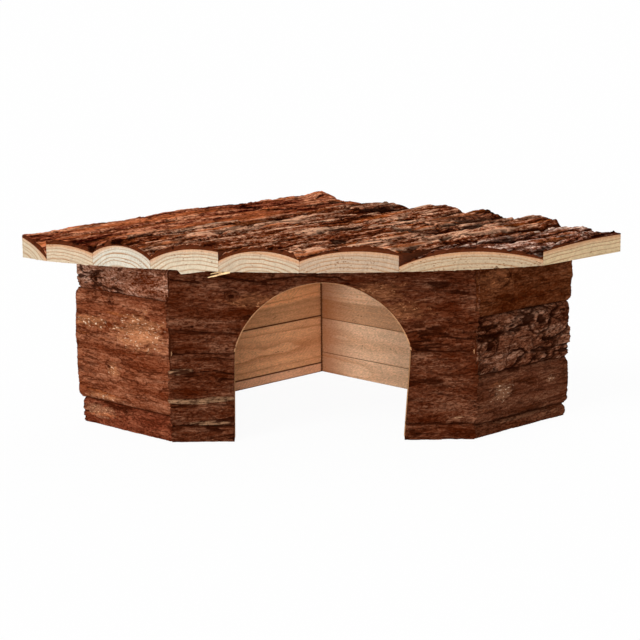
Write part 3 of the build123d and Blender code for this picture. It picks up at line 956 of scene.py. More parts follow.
ROOF_ORANGE = BarkFinish(
    (55, 8, 2), (151, 75, 48), (230, 154, 113), warm=(181, 94, 51), warm_share=0.7, grey_share=0.0,
    contrast=1.3, fibre=Grain(16, 2, 1.2), streak=Grain(90, 7, 1.7), grit_size=2.0)
ROOF_MIXED = replace(
    ROOF_ORANGE, dark=(40, 6, 1), body=(138, 67, 36), light=(234, 176, 140), warm=(180, 92, 42),
    grey=(158, 128, 104), warm_share=0.5, grey_share=0.35, contrast=1.45)
ROOF_GREY = replace(
    ROOF_MIXED, dark=(34, 5, 1), body=(145, 81, 56), light=(246, 207, 185), warm=(180, 98, 52),
    grey=(194, 163, 141), warm_share=0.5, grey_share=0.4, contrast=1.5)
LEFT_TOP = BarkFinish(
    (89, 35, 12), (145, 95, 72), (199, 156, 134), grey=(176, 142, 119), crack=(44, 16, 5), warm_share=0.1,
    grey_share=0.35)
LEFT_MIDDLE = BarkFinish(
    (90, 35, 13), (127, 70, 45), (162, 106, 78), warm=(151, 82, 45), pale=(173, 114, 76), crack=(58, 20, 6),
    bright=(244, 212, 180), warm_share=0.3, grey_share=0.0, contrast=1.1, fibre=Grain(9, 0.9, 0.6),
    streak=Grain(60, 6, 1), grit_tone=0.8)
LEFT_FOOT = BarkFinish(
    (85, 33, 15), (118, 58, 37), (149, 87, 60), grey=(134, 83, 59), crack=(58, 20, 6), warm_share=0.3,
    grey_share=0.25, contrast=1.1)
FRONT_BARK = BarkFinish(
    (62, 20, 4), (85, 43, 25), (119, 77, 56), warm=(104, 44, 20), grey=(138, 104, 77), pale=(122, 74, 46),
    crack=(44, 14, 4), bright=(172, 116, 78), warm_share=0.12, grey_share=0.12, contrast=1.1)
RIGHT_TOP = BarkFinish(
    (66, 23, 4), (89, 45, 22), (113, 67, 43), warm=(100, 49, 21), pale=(119, 71, 44), crack=(46, 16, 3),
    bright=(156, 96, 58), warm_share=0.3, grey_share=0.0)
RIGHT_ROUGH = BarkFinish(
    (52, 14, 3), (111, 66, 45), (162, 119, 96), warm=(120, 66, 36), grey=(137, 103, 82), crack=(34, 9, 2),
    warm_share=0.15, grey_share=0.15, contrast=1.05)
RIGHT_LOWER = BarkFinish(
    (70, 30, 12), (94, 53, 35), (119, 78, 56), warm=(108, 59, 32), pale=(132, 92, 68), bright=(226, 190, 158),
    grey=(116, 76, 54), crack=(46, 18, 6), warm_share=0.3, grey_share=0.05, contrast=1.1)
REAR_BARK = BarkFinish(
    (62, 24, 10), (114, 62, 40), (168, 116, 86), warm=(150, 78, 40), warm_share=0.4, grey_share=0.2)

END_TONES = (
    (187, 170, 145), (187, 168, 143), (187, 179, 163), (187, 172, 149), (178, 160, 137), (166, 144, 122),
    (170, 149, 122), (191, 166, 130))
ROOF_WOOD = WoodFinish(END_TONES[0], (150, 112, 80), (182, 134, 98), ring_strength=0.8, fuzz=0.9, saw=0.5)
INNER_WOOD = WoodFinish(
    (206, 156, 112), (168, 110, 66), (190, 140, 100), ring_width=2.6, ring_strength=0.45, speck_share=0.05,
    fuzz=1.7, saw=0.5, seam_width=0.7)
INNER_LEFT = replace(
    INNER_WOOD, early=(226, 168, 122), late=(158, 94, 53), corner_place=0.0, corner_shade=0.3)
# painted light: the top slab's wood is made lighter to make up for the shade that the roof casts on it
INNER_LEFT_TOP_PAINTED_LIGHT = replace(INNER_LEFT, early=(248, 181, 127), late=(175, 102, 56))
INNER_FOOT = replace(INNER_LEFT, early=(229, 175, 138))
INNER_RIGHT = replace(
    INNER_WOOD, early=(236, 197, 161), late=(206, 152, 110), seam=(120, 74, 44), seam_width=0.3,
    speck_share=0.2, corner_place=163.2, corner_shade=0.75)
# painted light: the top slab's wood is made lighter to make up for the shade that the roof casts on it
INNER_RIGHT_TOP_PAINTED_LIGHT = replace(INNER_RIGHT, early=(245, 205, 167), late=(215, 159, 115))


@dataclass(frozen=True)
class SteelFinish:
    """Plain steel wire."""

    colour: Tint = (150, 148, 144)
    marks_per_mm: float = 3.0

    def material(self) -> bpy.types.Material:
        """Makes the material, with fine drawing marks.

        Returns:
            The material.
        """
        tree = Shader("brad steel")
        place = tree.add("ShaderNodeTexCoord", output="Object") * (1 / MM)
        marks = tree.noise(place * self.marks_per_mm, 3)
        return tree.finish(Base_Color=self.colour, Metallic=1.0, Roughness=0.3 + marks * 0.2)


# ---------------------------------------------------------------- walls
@dataclass
class WallSlab:
    """A slab of a wall: heights, how far it lies behind the wall's face, and its bark."""

    name: str
    low: float
    high: float
    growth: BarkGrowth
    finish: BarkFinish
    recess: float = 0.0
    tip_cut: float = 0.0
    crown_drop: float = 2.4
    joint_wear: float = 1.3         # how far the bark is worn down along the slab's long edges
    joint_wander: float = 2.4       # how far the worn edges wander
    marks: tuple[Mark, ...] = ()
    wood: WoodFinish = INNER_WOOD
    seed: float = 0.0


@dataclass
class WallStretch:
    """The stretch of a wall that one slab covers, as plan points over the bark and on the inner face."""

    line: Line
    outer_start: Vector
    outer_end: Vector
    inner_start: Vector
    inner_end: Vector
    start_lean: float = 0.0         # how far the ends move along the wall over the slab's height
    end_lean: float = 0.0
    start_wear: float = 0.0         # how rough and rounded the ends are
    end_wear: float = 0.0
    start_fray: float = 0.0         # how ragged the bark's ends are
    end_fray: float = 0.0


@dataclass
class WallPiece:
    """Builds the bark and the wood of one slab of a wall."""

    plan: Plan
    stretch: WallStretch
    slab: WallSlab
    bark: float = 2.5               # thickness of the bark, and what no crack goes through
    least_bark: float = 0.5
    coarse: tuple[float, float] = (4.2, 2.6)    # size of a cell along and across

    @property
    def length(self) -> float:
        """The slab's length on its outer face."""
        return (self.stretch.outer_end - self.stretch.outer_start).length

    @property
    def height(self) -> float:
        """The slab's height."""
        return self.slab.high - self.slab.low

    def cells(self) -> tuple[int, int]:
        """Cells along and across for this slab."""
        return (max(2, round(self.length / self.coarse[0])), max(2, round(self.height / self.coarse[1])))

    def drop(self) -> float:
        """How far the slab's face falls back at its long edges."""
        return min(self.slab.crown_drop, 0.07 * self.height)

    def _place(self, tree: Modifier, x: Signal, y: Signal, depth: Signal, frayed: float = 0.0) -> Signal:
        """The place of a point of the block, at a depth behind the wall's face, with frayed ends.

        Args:
            tree: The modifier.
            x: Share along the slab.
            y: Share of the slab's height.
            depth: Millimetres behind the wall's face.
            frayed: How far the ends stray, in millimetres.

        Returns:
            The place, in millimetres.
        """
        stretch = self.stretch
        share = depth / self.plan.wall_total
        start = tree.blend(tree.vector(*stretch.outer_start), tree.vector(*stretch.inner_start), share)
        end = tree.blend(tree.vector(*stretch.outer_end), tree.vector(*stretch.inner_end), share)
        flat = tree.blend(start, end, x)
        shift = tree.blend(x * 0 + stretch.start_lean, stretch.end_lean, x) * (1 - y)
        level = y * self.height
        edge = tree.fade(y.least(1 - y) * self.height, 0.0, 3.0) * 1.6
        rough = tree.noise((level / 5, self.slab.seed, share * 0.6), 5, 0.65) - 0.5
        worn = edge + rough * 5 - 0.9
        shift = shift + worn * tree.blend(x * 0 + stretch.start_wear, -stretch.end_wear, x)
        fray = (tree.noise((level / 2.4, self.slab.seed + 3, 0.0), 5, 0.7) - 0.5) * frayed
        shift = shift + fray * tree.blend(x * 0 + stretch.start_fray, -stretch.end_fray, x)
        flat = flat + tree.vector(shift * stretch.line.along.x, shift * stretch.line.along.y, 0.0)
        return flat + tree.vector(0.0, 0.0, level + self.slab.low)

    def form_bark(self, tree: Modifier, x: Signal, y: Signal, z: Signal) -> None:
        """Forms the bark from a block.

        Args:
            tree: The modifier.
            x: Share along the slab.
            y: Share of the slab's height.
            z: 0 on the bark's underside, 1 on its face.
        """
        slab, stretch = self.slab, self.stretch
        u, v = x * self.length, y * self.height
        surface = slab.growth.grow(tree, u, v, slab.seed, slab.marks)
        ragged = (tree.noise((u / 6, v / 3, slab.seed + 31), 3) - 0.5) * slab.joint_wander
        edge = (self.height - v if slab.low == 0 else v.least(self.height - v)) + ragged
        rounding = tree.fade(edge, -0.4, 2.4) * slab.joint_wear
        ends = (u * (1 / max(stretch.start_wear, 0.01))).least(
            (self.length - u) * (1 / max(stretch.end_wear, 0.01)))
        rounding = rounding + tree.fade(ends, 0.0, 2.5) * 0.3
        bow = (y * 2 - 1) ** 2.0 * self.drop() * (0.4 + tree.smooth(ends, 0.0, 24.0) * 0.6)
        sunk = (rounding - surface.height).least(self.bark - self.least_bark)
        surface.keep(tree, tree.fade(edge, -0.3, 0.9) * 0.9, z)
        depth = bow + slab.recess + self.bark * (1 - z) + sunk * z
        tree.move(self._place(tree, x, y, depth, 4.0))

    def form_wood(self, tree: Modifier, x: Signal, y: Signal, z: Signal) -> None:
        """Forms the wood from a block.

        Args:
            tree: The modifier.
            x: Share along the slab.
            y: Share of the slab's height.
            z: 0 on the wall's inner face, 1 under the bark.
        """
        bow = (y * 2 - 1) ** 2.0 * self.drop()
        back = self.slab.recess + bow + self.bark
        tree.store("hidden", z)
        tree.move(self._place(tree, x, y, tree.blend(x * 0 + self.plan.wall_total, back, z)))


# ---------------------------------------------------------------- roof
FIRST_BOARD, LAST_BOARD = 1, 8      # numbers of the boards along the roof's sawn sides


@dataclass(frozen=True)
class Tooth:
    """A tooth of torn wood under a board's front edge, or a chip out of it, in shares across the board."""

    start: float
    point: float
    end: float
    depth: float        # millimetres down


@dataclass(frozen=True)
class Swell:
    """A swelling of the bark: its middle and half its size in shares of the board, and its height in mm."""

    along: float
    across: float
    half_along: float
    half_across: float
    height: float


@dataclass
class RoofBoard:
    """One half-round slab of the roof: its section, and its bark."""

    number: int
    left_height: float
    crown_height: float
    crown_offset: float
    right_height: float
    right_offset: float
    growth: BarkGrowth
    finish: BarkFinish
    specks: float = 0.3
    teeth: tuple[Tooth, ...] = ()
    nose: float = 0.9               # how far the bark rises towards its rear end
    swells: tuple[Swell, ...] = ()

    def __post_init__(self) -> None:
        """Finds the circle that the slab's wood is part of, by its middle across and up, and its radius."""
        centre = circle_centre(Vector((0, self.left_height)), Vector((self.crown_offset, self.crown_height)),
                               Vector((self.right_offset, self.right_height)))
        self.centre_across, self.centre_up = centre
        self.radius = (Vector((0, self.left_height)) - centre).length
        self.seed = 11.3 * self.number
        self.bark_node = f"roof_bark_{self.number}"


@dataclass
class RoofPiece:
    """Builds the bark and the wood of one roof board between two joints."""

    plan: Plan
    board: RoofBoard
    joint: Line
    corners: tuple[Vector, Vector, Vector, Vector]     # front left, front right, rear left, rear right
    bark: float = 2.6               # thickness of the bark, and what no crack goes through
    least_bark: float = 0.6
    bare: float = 9.0               # millimetres from a board beside which wood isn't dark
    coarse: tuple[float, float] = (4.2, 2.1)    # size of a cell along and across

    def cells(self) -> tuple[int, int]:
        """Cells along and across for this board.

        Returns:
            The numbers of cells.
        """
        front_left, front_right, rear_left, rear_right = self.corners
        length = max((rear_left - front_left).length, (rear_right - front_right).length)
        width = max((rear_right - rear_left).length, (front_right - front_left).length * 0.7)
        return max(2, round(length / self.coarse[0])), max(2, round(width / self.coarse[1]))

    def _flat(self, tree: Modifier, x: Signal, y: Signal) -> Signal:
        """The plan place of a point of the block.

        Args:
            tree: The modifier.
            x: Share from the board's front edge to its rear one.
            y: Share across the board.

        Returns:
            The place, in millimetres.
        """
        front_left, front_right, rear_left, rear_right = self.corners
        front = tree.blend(tree.vector(*front_left), tree.vector(*front_right), y)
        if FIRST_BOARD < self.board.number < LAST_BOARD:        # the others are cut straight
            across, _, _ = tree.parts(front)
            off = across - self.plan.bow_centre.x
            edge = self.plan.bow_centre.y - (self.plan.bow_radius ** 2 - off * off).root()
            front = tree.vector(across, edge, 0.0)
        rear = tree.blend(tree.vector(*rear_left), tree.vector(*rear_right), y)
        return tree.blend(front, rear, x)

    def _grain(self, tree: Modifier, flat: Signal) -> tuple[Signal, Signal]:
        """Distances along and across the grain from the joint's start.

        Args:
            tree: The modifier.
            flat: Place in plan.

        Returns:
            The two distances, in millimetres.
        """
        px, py, _ = tree.parts(flat)
        dx, dy = px - self.joint.start.x, py - self.joint.start.y
        along = dx * self.joint.along.x + dy * self.joint.along.y
        across = dx * -self.joint.left.x + dy * -self.joint.left.y
        return along, across

    def _level(self, across: Signal, growth: float) -> Signal:
        """Height over the wall tops of the board's round, grown by a thickness.

        Args:
            across: Distance across the grain.
            growth: The thickness.

        Returns:
            The height, in millimetres.
        """
        off = across - self.board.centre_across
        radius = self.board.radius + growth
        return self.board.centre_up + (radius ** 2 - off * off).most(0.0).root()

    def _plates(self, tree: Modifier, flat: Signal) -> Signal:
        """How far the frame's plates of bark stand out, with edges that wander.

        Args:
            tree: The modifier.
            flat: Place in plan.

        Returns:
            The height over the plain bark.
        """
        px, py, _ = tree.parts(flat)
        drift = tree.noise((px / 9, py / 9, self.board.seed + 41), 3, 0.6, "Color") - (0.5, 0.5, 0.5)
        place = flat + drift * (7.0, 7.0, 0.0)
        _, across = self._grain(tree, place)
        level, met = tree.over(self.board.bark_node, place)
        return (level - self.plan.wall_height - self._level(across, self.bark)).most(0.0).least(2.0) * met

    def form_bark(self, tree: Modifier, x: Signal, y: Signal, z: Signal) -> None:
        """Forms the bark from a block.

        Args:
            tree: The modifier.
            x: Share from the board's front edge to its rear one.
            y: Share across the board.
            z: 0 on the bark's underside, 1 on its face.
        """
        board = self.board
        flat = self._flat(tree, x, y)
        along, across = self._grain(tree, flat)
        surface = board.growth.grow(tree, along, across, board.seed)
        plate = self._plates(tree, flat)
        rise = tree.soften(plate, 1)
        # painted shade: dark round the feet of the raised plates, where they shade the bark beside them
        foot = tree.smooth(tree.soften(plate, 5) - plate, 0.08, 0.4)
        wood, skin = self._level(across, 0.0), self._level(across, self.bark)
        front_left, front_right, rear_left, rear_right = self.corners
        front_width, rear_width = (front_right - front_left).length, (rear_right - rear_left).length
        width = tree.blend(x * 0 + front_width * 0.75, rear_width, x)
        ragged = (tree.noise((along / 8, across / 3, board.seed + 31), 4, 0.6) - 0.5) * 3.5
        edge = y.least(1 - y) * width + ragged
        rear = (1 - x) * (rear_left - front_left).length + ragged
        worn = tree.fade(edge, -0.4, 3.2) * 1.8 - 0.3
        worn = worn + tree.fade(rear, -1.0, 2.0) * 0.8
        worn = worn - tree.fade(rear, 3.0, 22.0) * board.nose
        for swell in board.swells:
            off_x, off_y = (x - swell.along) / swell.half_along, (y - swell.across) / swell.half_across
            worn = worn - tree.fade(off_x * off_x + off_y * off_y, 0.0, 1.0) * swell.height
        surface.layer = surface.layer + rise * 0.15
        # the plates' painted shade goes into the dark of the cracks
        surface.crack = surface.crack.most(foot * 0.9)
        surface.grey = surface.grey.most(tree.smooth(rise, 0.9, 1.2) * 0.5 * board.finish.grey_share)
        # painted shade: the bark is darkened along the valleys between the boards, where shade falls
        surface.keep(tree, tree.fade(edge, -0.5, 1.8) * 0.95, z)
        top = (skin + rise + surface.height - worn).most(wood + self.least_bark)
        level = tree.blend(wood, top, z) + self.plan.wall_height
        tree.move(flat + tree.vector(0.0, 0.0, level))

    def form_wood(self, tree: Modifier, x: Signal, y: Signal, z: Signal) -> None:
        """Forms the wood from a block.

        Args:
            tree: The modifier.
            x: Share from the board's front edge to its rear one.
            y: Share across the board.
            z: 0 on the wall tops, 1 under the bark.
        """
        board = self.board
        flat = self._flat(tree, x, y)
        _, across = self._grain(tree, flat)
        torn = (tree.noise((across / 1.6, board.seed, 0.0), 3, 0.7) - 0.55).most(0.0) * 3
        for tooth in board.teeth:
            rising = (y - tooth.start) / (tooth.point - tooth.start)
            falling = (tooth.end - y) / (tooth.end - tooth.point)
            torn = torn + rising.least(falling).most(0.0) * tooth.depth
        torn = torn * tree.fade(x, 0.0, 0.02) * (1 - z)
        width = (self.corners[1] - self.corners[0]).length
        from_left = x * 0 + self.bare if board.number == FIRST_BOARD else y * width
        from_right = x * 0 + self.bare if board.number == LAST_BOARD else (1 - y) * width
        tree.store("hidden", 1 - from_left.least(from_right) / 3)
        level = self._level(across, 0.0).most(0.4) * z + self.plan.wall_height - torn
        tree.move(flat + tree.vector(0.0, 0.0, level))


# ---------------------------------------------------------------- assemblies
@dataclass
class Walls:
    """The five walls and the posts in their front corners."""

    plan: Plan
    corner_brad_inset: float = 13.0
    spring: float = 46.0            # level of the arch's springing
    bevel: float = 0.35             # on the wood's edges
    arch_steps: int = 192
    cutter_depth: float = 60.0
    post_heart: float = 20.0        # how far in front of a post the middle of its log lies, and its radius
    post_radius: float = 26.0
    bark_chamfer: float = 0.6       # how much wider the arch is in the bark than in the wood
    heart_depth: float = 24.0       # how far behind the bark the middle of the slabs' log lies
    foot: float = 8.0               # height of the front wall's foot
    left_lean: float = -0.7         # how far each post leans into the doorway at the floor
    right_lean: float = 3.3
    left_reach: float = 2.0         # how far the front bark reaches past each corner at the top
    right_reach: float = 2.4
    seeds: Iterator[float] = field(default_factory=lambda: (7.3 * n for n in range(1, 99)))

    def build(self) -> None:
        """Builds every slab of every wall, then dresses the posts."""
        plan = self.plan
        left_mitre = self._mitre(plan.left_side, plan.front)
        right_mitre = self._mitre(plan.front, plan.right_side)
        self._front(left_mitre, right_mitre)
        self._right_side(right_mitre)
        self._left_side(left_mitre)
        self._rear()
        self._posts()

    def _slab(self, name: str, low: float, high: float, growth: BarkGrowth, finish: BarkFinish,
              recess: float = 0.0, tip_cut: float = 0.0, marks: tuple[Mark, ...] = (),
              **more: Any) -> WallSlab:
        """A slab with bark of its own."""
        return WallSlab(name, low, high, growth, finish, recess, tip_cut, marks=marks,
                        seed=next(self.seeds), **more)

    def _mitre(self, first: Line, second: Line) -> Line:
        """The plan line that halves the corner between two walls."""
        total = self.plan.wall_total
        return Line(first.meet(second), first.shifted(total).meet(second.shifted(total)))

    def _stretch(self, line: Line, start_cut: Line, end_cut: Line) -> WallStretch:
        """The whole of a wall between the lines that cut its ends.

        Args:
            line: The wall's outer line.
            start_cut: What cuts its start.
            end_cut: What cuts its end.

        Returns:
            The stretch.
        """
        inner = line.shifted(self.plan.wall_total)
        return WallStretch(line, line.meet(start_cut), line.meet(end_cut), inner.meet(start_cut),
                           inner.meet(end_cut))

    def _stack(self, wall: str, stretch: WallStretch, slabs: list[WallSlab],
               tip_at_start: bool = False) -> None:
        """Builds the slabs of one wall.

        Args:
            wall: The wall's name.
            stretch: The whole of the wall.
            slabs: Its slabs.
            tip_at_start: Whether their tips lie at its start.
        """
        for slab in slabs:
            cut = stretch.line.along * slab.tip_cut
            part = replace(stretch)
            if tip_at_start:
                part.outer_start, part.inner_start = stretch.outer_start + cut, stretch.inner_start + cut
            else:
                part.outer_end, part.inner_end = stretch.outer_end - cut, stretch.inner_end - cut
            self._piece(wall, slab, part)

    def _piece(self, wall: str, slab: WallSlab, stretch: WallStretch, suffix: str = "",
               arched: bool = False) -> None:
        """Builds and dresses the bark and the wood of one slab.

        Args:
            wall: The wall's name.
            slab: The slab.
            stretch: The stretch of wall that it covers.
            suffix: What is added to the nodes' names.
            arched: Whether the doorway's arch is cut out of the slab.
        """
        piece = WallPiece(self.plan, stretch, slab)
        start, line = stretch.outer_start, stretch.line
        bark_name, wood_name = f"{wall}_{slab.name}_bark{suffix}", f"{wall}_{slab.name}_slab{suffix}"
        bark = model(bark_name + ".piece", piece.cells(), piece.form_bark, BARK_CREASE, fine=BARK_CUTS)
        wood = model(wood_name + ".piece", piece.cells(), piece.form_wood, WOOD_CREASE, 2, bevel=self.bevel)
        if arched:
            self._cut_arch(bark, self.bark_chamfer)
            self._cut_arch(wood, 0.0)
        base = Base(start, slab.low, line.turn)
        dress(bark, slab.finish.material(bark_name, base, slab.seed), bark_name)
        centre = start + line.left * (self.heart_depth + piece.bark)
        heart = Base(centre, (slab.low + slab.high) / 2, line.turn)
        material = slab.wood.material(wood_name, heart, self.heart_depth, slab.seed, piece.height / 2)
        dress(wood, material, wood_name)

    def _front(self, left_mitre: Line, right_mitre: Line) -> None:
        """Builds the front wall round its doorway.

        Args:
            left_mitre: The plan line through the left front corner.
            right_mitre: The plan line through the right front corner.
        """
        plan, spring = self.plan, self.spring
        half = plan.doorway_width / 2
        jamb_y = (plan.front.start.y, plan.front.start.y + plan.wall_total)
        post_marks = (Mark(PLATE, 12, 14, 18, 1.6), Mark(PLATE, 6, 29.5, 7, 1.5),
                      Mark(PLATE, 26, 14.8, 11, 1.3), Mark(PLATE, 20, 1.5, 12, 1.4))
        for name, low, high, recess, left_marks in (("foot", 0.0, self.foot, 0.7, ()),
                                                    ("middle", self.foot, spring, 0.0, post_marks)):
            for suffix, lean, marks in (("_left", self.left_lean, left_marks),
                                        ("_right", self.right_lean, ())):
                part = self._leaning(left_mitre, right_mitre, low, high)
                shift = (spring - high) / spring * lean
                reach = (high - low) / spring * lean
                if suffix == "_left":
                    part.outer_end, part.inner_end = (Vector((-half + shift, y)) for y in jamb_y)
                    part.end_lean, part.end_fray = reach, 0.0
                else:
                    part.outer_start, part.inner_start = (Vector((half - shift, y)) for y in jamb_y)
                    part.start_lean, part.start_fray = -reach, 0.0
                slab = self._slab(name, low, high, WALL_FINE, FRONT_BARK, recess, marks=marks, joint_wear=1.0)
                self._piece("front", slab, part, suffix)
        marks = (Mark(KNOT, 34.4, 30, 3.4, 2.6), Mark(KNOT, 42.9, 27.8, 3.6, 2.8),
                 Mark(NAIL_HOLE, self.corner_brad_inset, 14.7, 0.9, 0.7), Mark(WORN, 110, 31, 14, 5.5),
                 Mark(WORN, 123, 22, 14, 5), Mark(WORN, 44, 27, 12, 4))
        slab = self._slab("header", spring, plan.wall_height, WALL_FINE, FRONT_BARK, 0.4, marks=marks,
                          joint_wear=1.0)
        part = self._leaning(left_mitre, right_mitre, spring, plan.wall_height)
        self._piece("front", slab, part, arched=True)

    def _leaning(self, left_mitre: Line, right_mitre: Line, low: float, high: float) -> WallStretch:
        """The whole front wall from one level to another, with ends that reach further out higher up.

        Args:
            left_mitre: The plan line through the left front corner.
            right_mitre: The plan line through the right front corner.
            low: The lower level.
            high: The upper level.

        Returns:
            The stretch.
        """
        stretch = self._stretch(self.plan.front, left_mitre, right_mitre)
        stretch.start_fray = stretch.end_fray = 1.0
        along, share = stretch.line.along, high / self.plan.wall_height
        stretch.outer_start = stretch.outer_start - along * (self.left_reach * share)
        stretch.outer_end = stretch.outer_end + along * (self.right_reach * share)
        fall = (high - low) / self.plan.wall_height
        stretch.start_lean, stretch.end_lean = self.left_reach * fall, -self.right_reach * fall
        return stretch

    def _right_side(self, mitre: Line) -> None:
        """Builds the right side wall, with its tip at its end.

        Args:
            mitre: The plan line through the right front corner.
        """
        plan = self.plan
        stretch = self._stretch(plan.right_side, mitre, plan.rear_right)
        stretch.end_wear, stretch.start_fray = 0.6, 1.0
        self._stack("right_side", stretch, [
            self._slab("foot", 0, 6.8, WALL_FINE, RIGHT_LOWER, 1.6, -2.0, (Mark(PLATE, 34, 5.2, 22, 0.9),)),
            self._slab("lower", 6.8, 32.3, WALL_SMOOTH, RIGHT_LOWER, 0.4, -2.8,
                       (Mark(KNOT, 15, 15, 3.2, 2.6), Mark(WORN, 20, 15, 8, 4.5),
                        Mark(WORN, 58, 15.5, 3, 2))),
            self._slab("middle", 32.3, 63.0, WALL_ROUGH, RIGHT_ROUGH, 0.0, -3.4,
                       (Mark(KNOT, 47.6, 24, 9, 7), Mark(KNOT, 11, 15.5, 7, 6),
                        Mark(KNOT, 58, 9, 4, 3.4))),
            self._slab("top", 63.0, plan.wall_height, WALL_SMOOTH, RIGHT_TOP, 0.0, -4.2,
                       (Mark(KNOT, 17, 19, 8, 5), Mark(WORN, 15, 19, 12, 6)))])

    def _left_side(self, mitre: Line) -> None:
        """Builds the left side wall, with its tip at its start.

        Args:
            mitre: The plan line through the left front corner.
        """
        plan = self.plan
        stretch = self._stretch(plan.left_side, plan.rear_left, mitre)
        stretch.start_wear, stretch.end_fray = 0.3, 1.0
        self._stack("left_side", stretch, [
            self._slab("foot", 0, 13.0, WALL_FINE, LEFT_FOOT, 0.7, 0.6, (Mark(WORN, 14, 8, 13, 3.5),),
                       joint_wander=1.0),
            self._slab("middle", 13.0, 73.0, WALL_SMOOTH, LEFT_MIDDLE, 0.0, -2.2,
                       (Mark(KNOT, 27, 55.5, 2.4, 2), Mark(KNOT, 26, 20.5, 3.4, 2.8),
                        Mark(WORN, 29, 19, 5, 3), Mark(WORN, 50, 42, 18, 9),
                        Mark(WORN, 12, 43, 12, 3.4), Mark(WORN, 18, 2.5, 12, 1.6)), joint_wander=1.0),
            self._slab("top", 73.0, plan.wall_height, WALL_LUMPY, LEFT_TOP, 0.4, 0.0,
                       (Mark(KNOT, 15.2, 7, 4, 3.6),), joint_wander=1.0)], tip_at_start=True)

    def _rear(self) -> None:
        """Builds the two rear walls."""
        plan = self.plan
        total = plan.wall_total
        stretch = self._stretch(plan.rear_right, plan.right_side.shifted(total), plan.rear_left)
        self._stack("rear_right", stretch, [
            self._slab("foot", 0, 12.1, WALL_FINE, REAR_BARK, 0.7, wood=INNER_RIGHT),
            self._slab("lower", 12.1, 33.1, WALL_FINE, REAR_BARK, wood=INNER_RIGHT),
            self._slab("top", 33.1, plan.wall_height, WALL_SMOOTH, REAR_BARK, 0.4, wood=INNER_RIGHT_TOP_PAINTED_LIGHT)])
        stretch = self._stretch(plan.rear_left, plan.rear_right.shifted(total), plan.left_side.shifted(total))
        self._stack("rear_left", stretch, [
            self._slab("foot", 0, 5.7, WALL_FINE, REAR_BARK, 0.7, wood=INNER_FOOT),
            self._slab("lower", 5.7, 34.5, WALL_SMOOTH, REAR_BARK, wood=INNER_LEFT),
            self._slab("top", 34.5, plan.wall_height, WALL_SMOOTH, REAR_BARK, 0.4, wood=INNER_LEFT_TOP_PAINTED_LIGHT)])

    def _cut_arch(self, part: Piece, wider: float) -> None:
        """Cuts the doorway's arch out of a part of the header, wider by some millimetres than the doorway.

        Args:
            part: The part.
            wider: How much wider, in millimetres.
        """
        plan = self.plan
        half, crown = plan.doorway_width / 2, plan.wall_height - plan.doorway_header
        rise = crown - self.spring
        radius = (half ** 2 + rise ** 2) / (2 * rise)
        bpy.ops.object.select_all(action="DESELECT")
        bpy.ops.mesh.primitive_cylinder_add(vertices=self.arch_steps, radius=(radius + wider) * MM,
                                            depth=self.cutter_depth * MM,
                                            location=(0.0, plan.front.start.y * MM, (crown - radius) * MM),
                                            rotation=(math.pi / 2, 0.0, 0.0))
        cutter = bpy.context.object
        bpy.ops.object.transform_apply(location=True, rotation=True)
        hole = part.modifiers.new("doorway", "BOOLEAN")
        hole.operation, hole.solver, hole.object = "DIFFERENCE", "EXACT", cutter
        apply_modifier(part, hole)
        bpy.data.objects.remove(cutter)

    def _posts(self) -> None:
        """Gives the posts of the frame their wood, whose grain runs along Y behind the front."""
        for name in ("corner_post_left", "corner_post_right"):
            low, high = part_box(name)
            middle = (low + high) / 2 / MM
            heart = Base(middle - Vector((0.0, self.post_heart, 0.0)), middle.z, math.pi / 2)
            material = INNER_WOOD.material(name, heart, self.post_radius, middle.x)
            clothe(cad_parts[name], material)


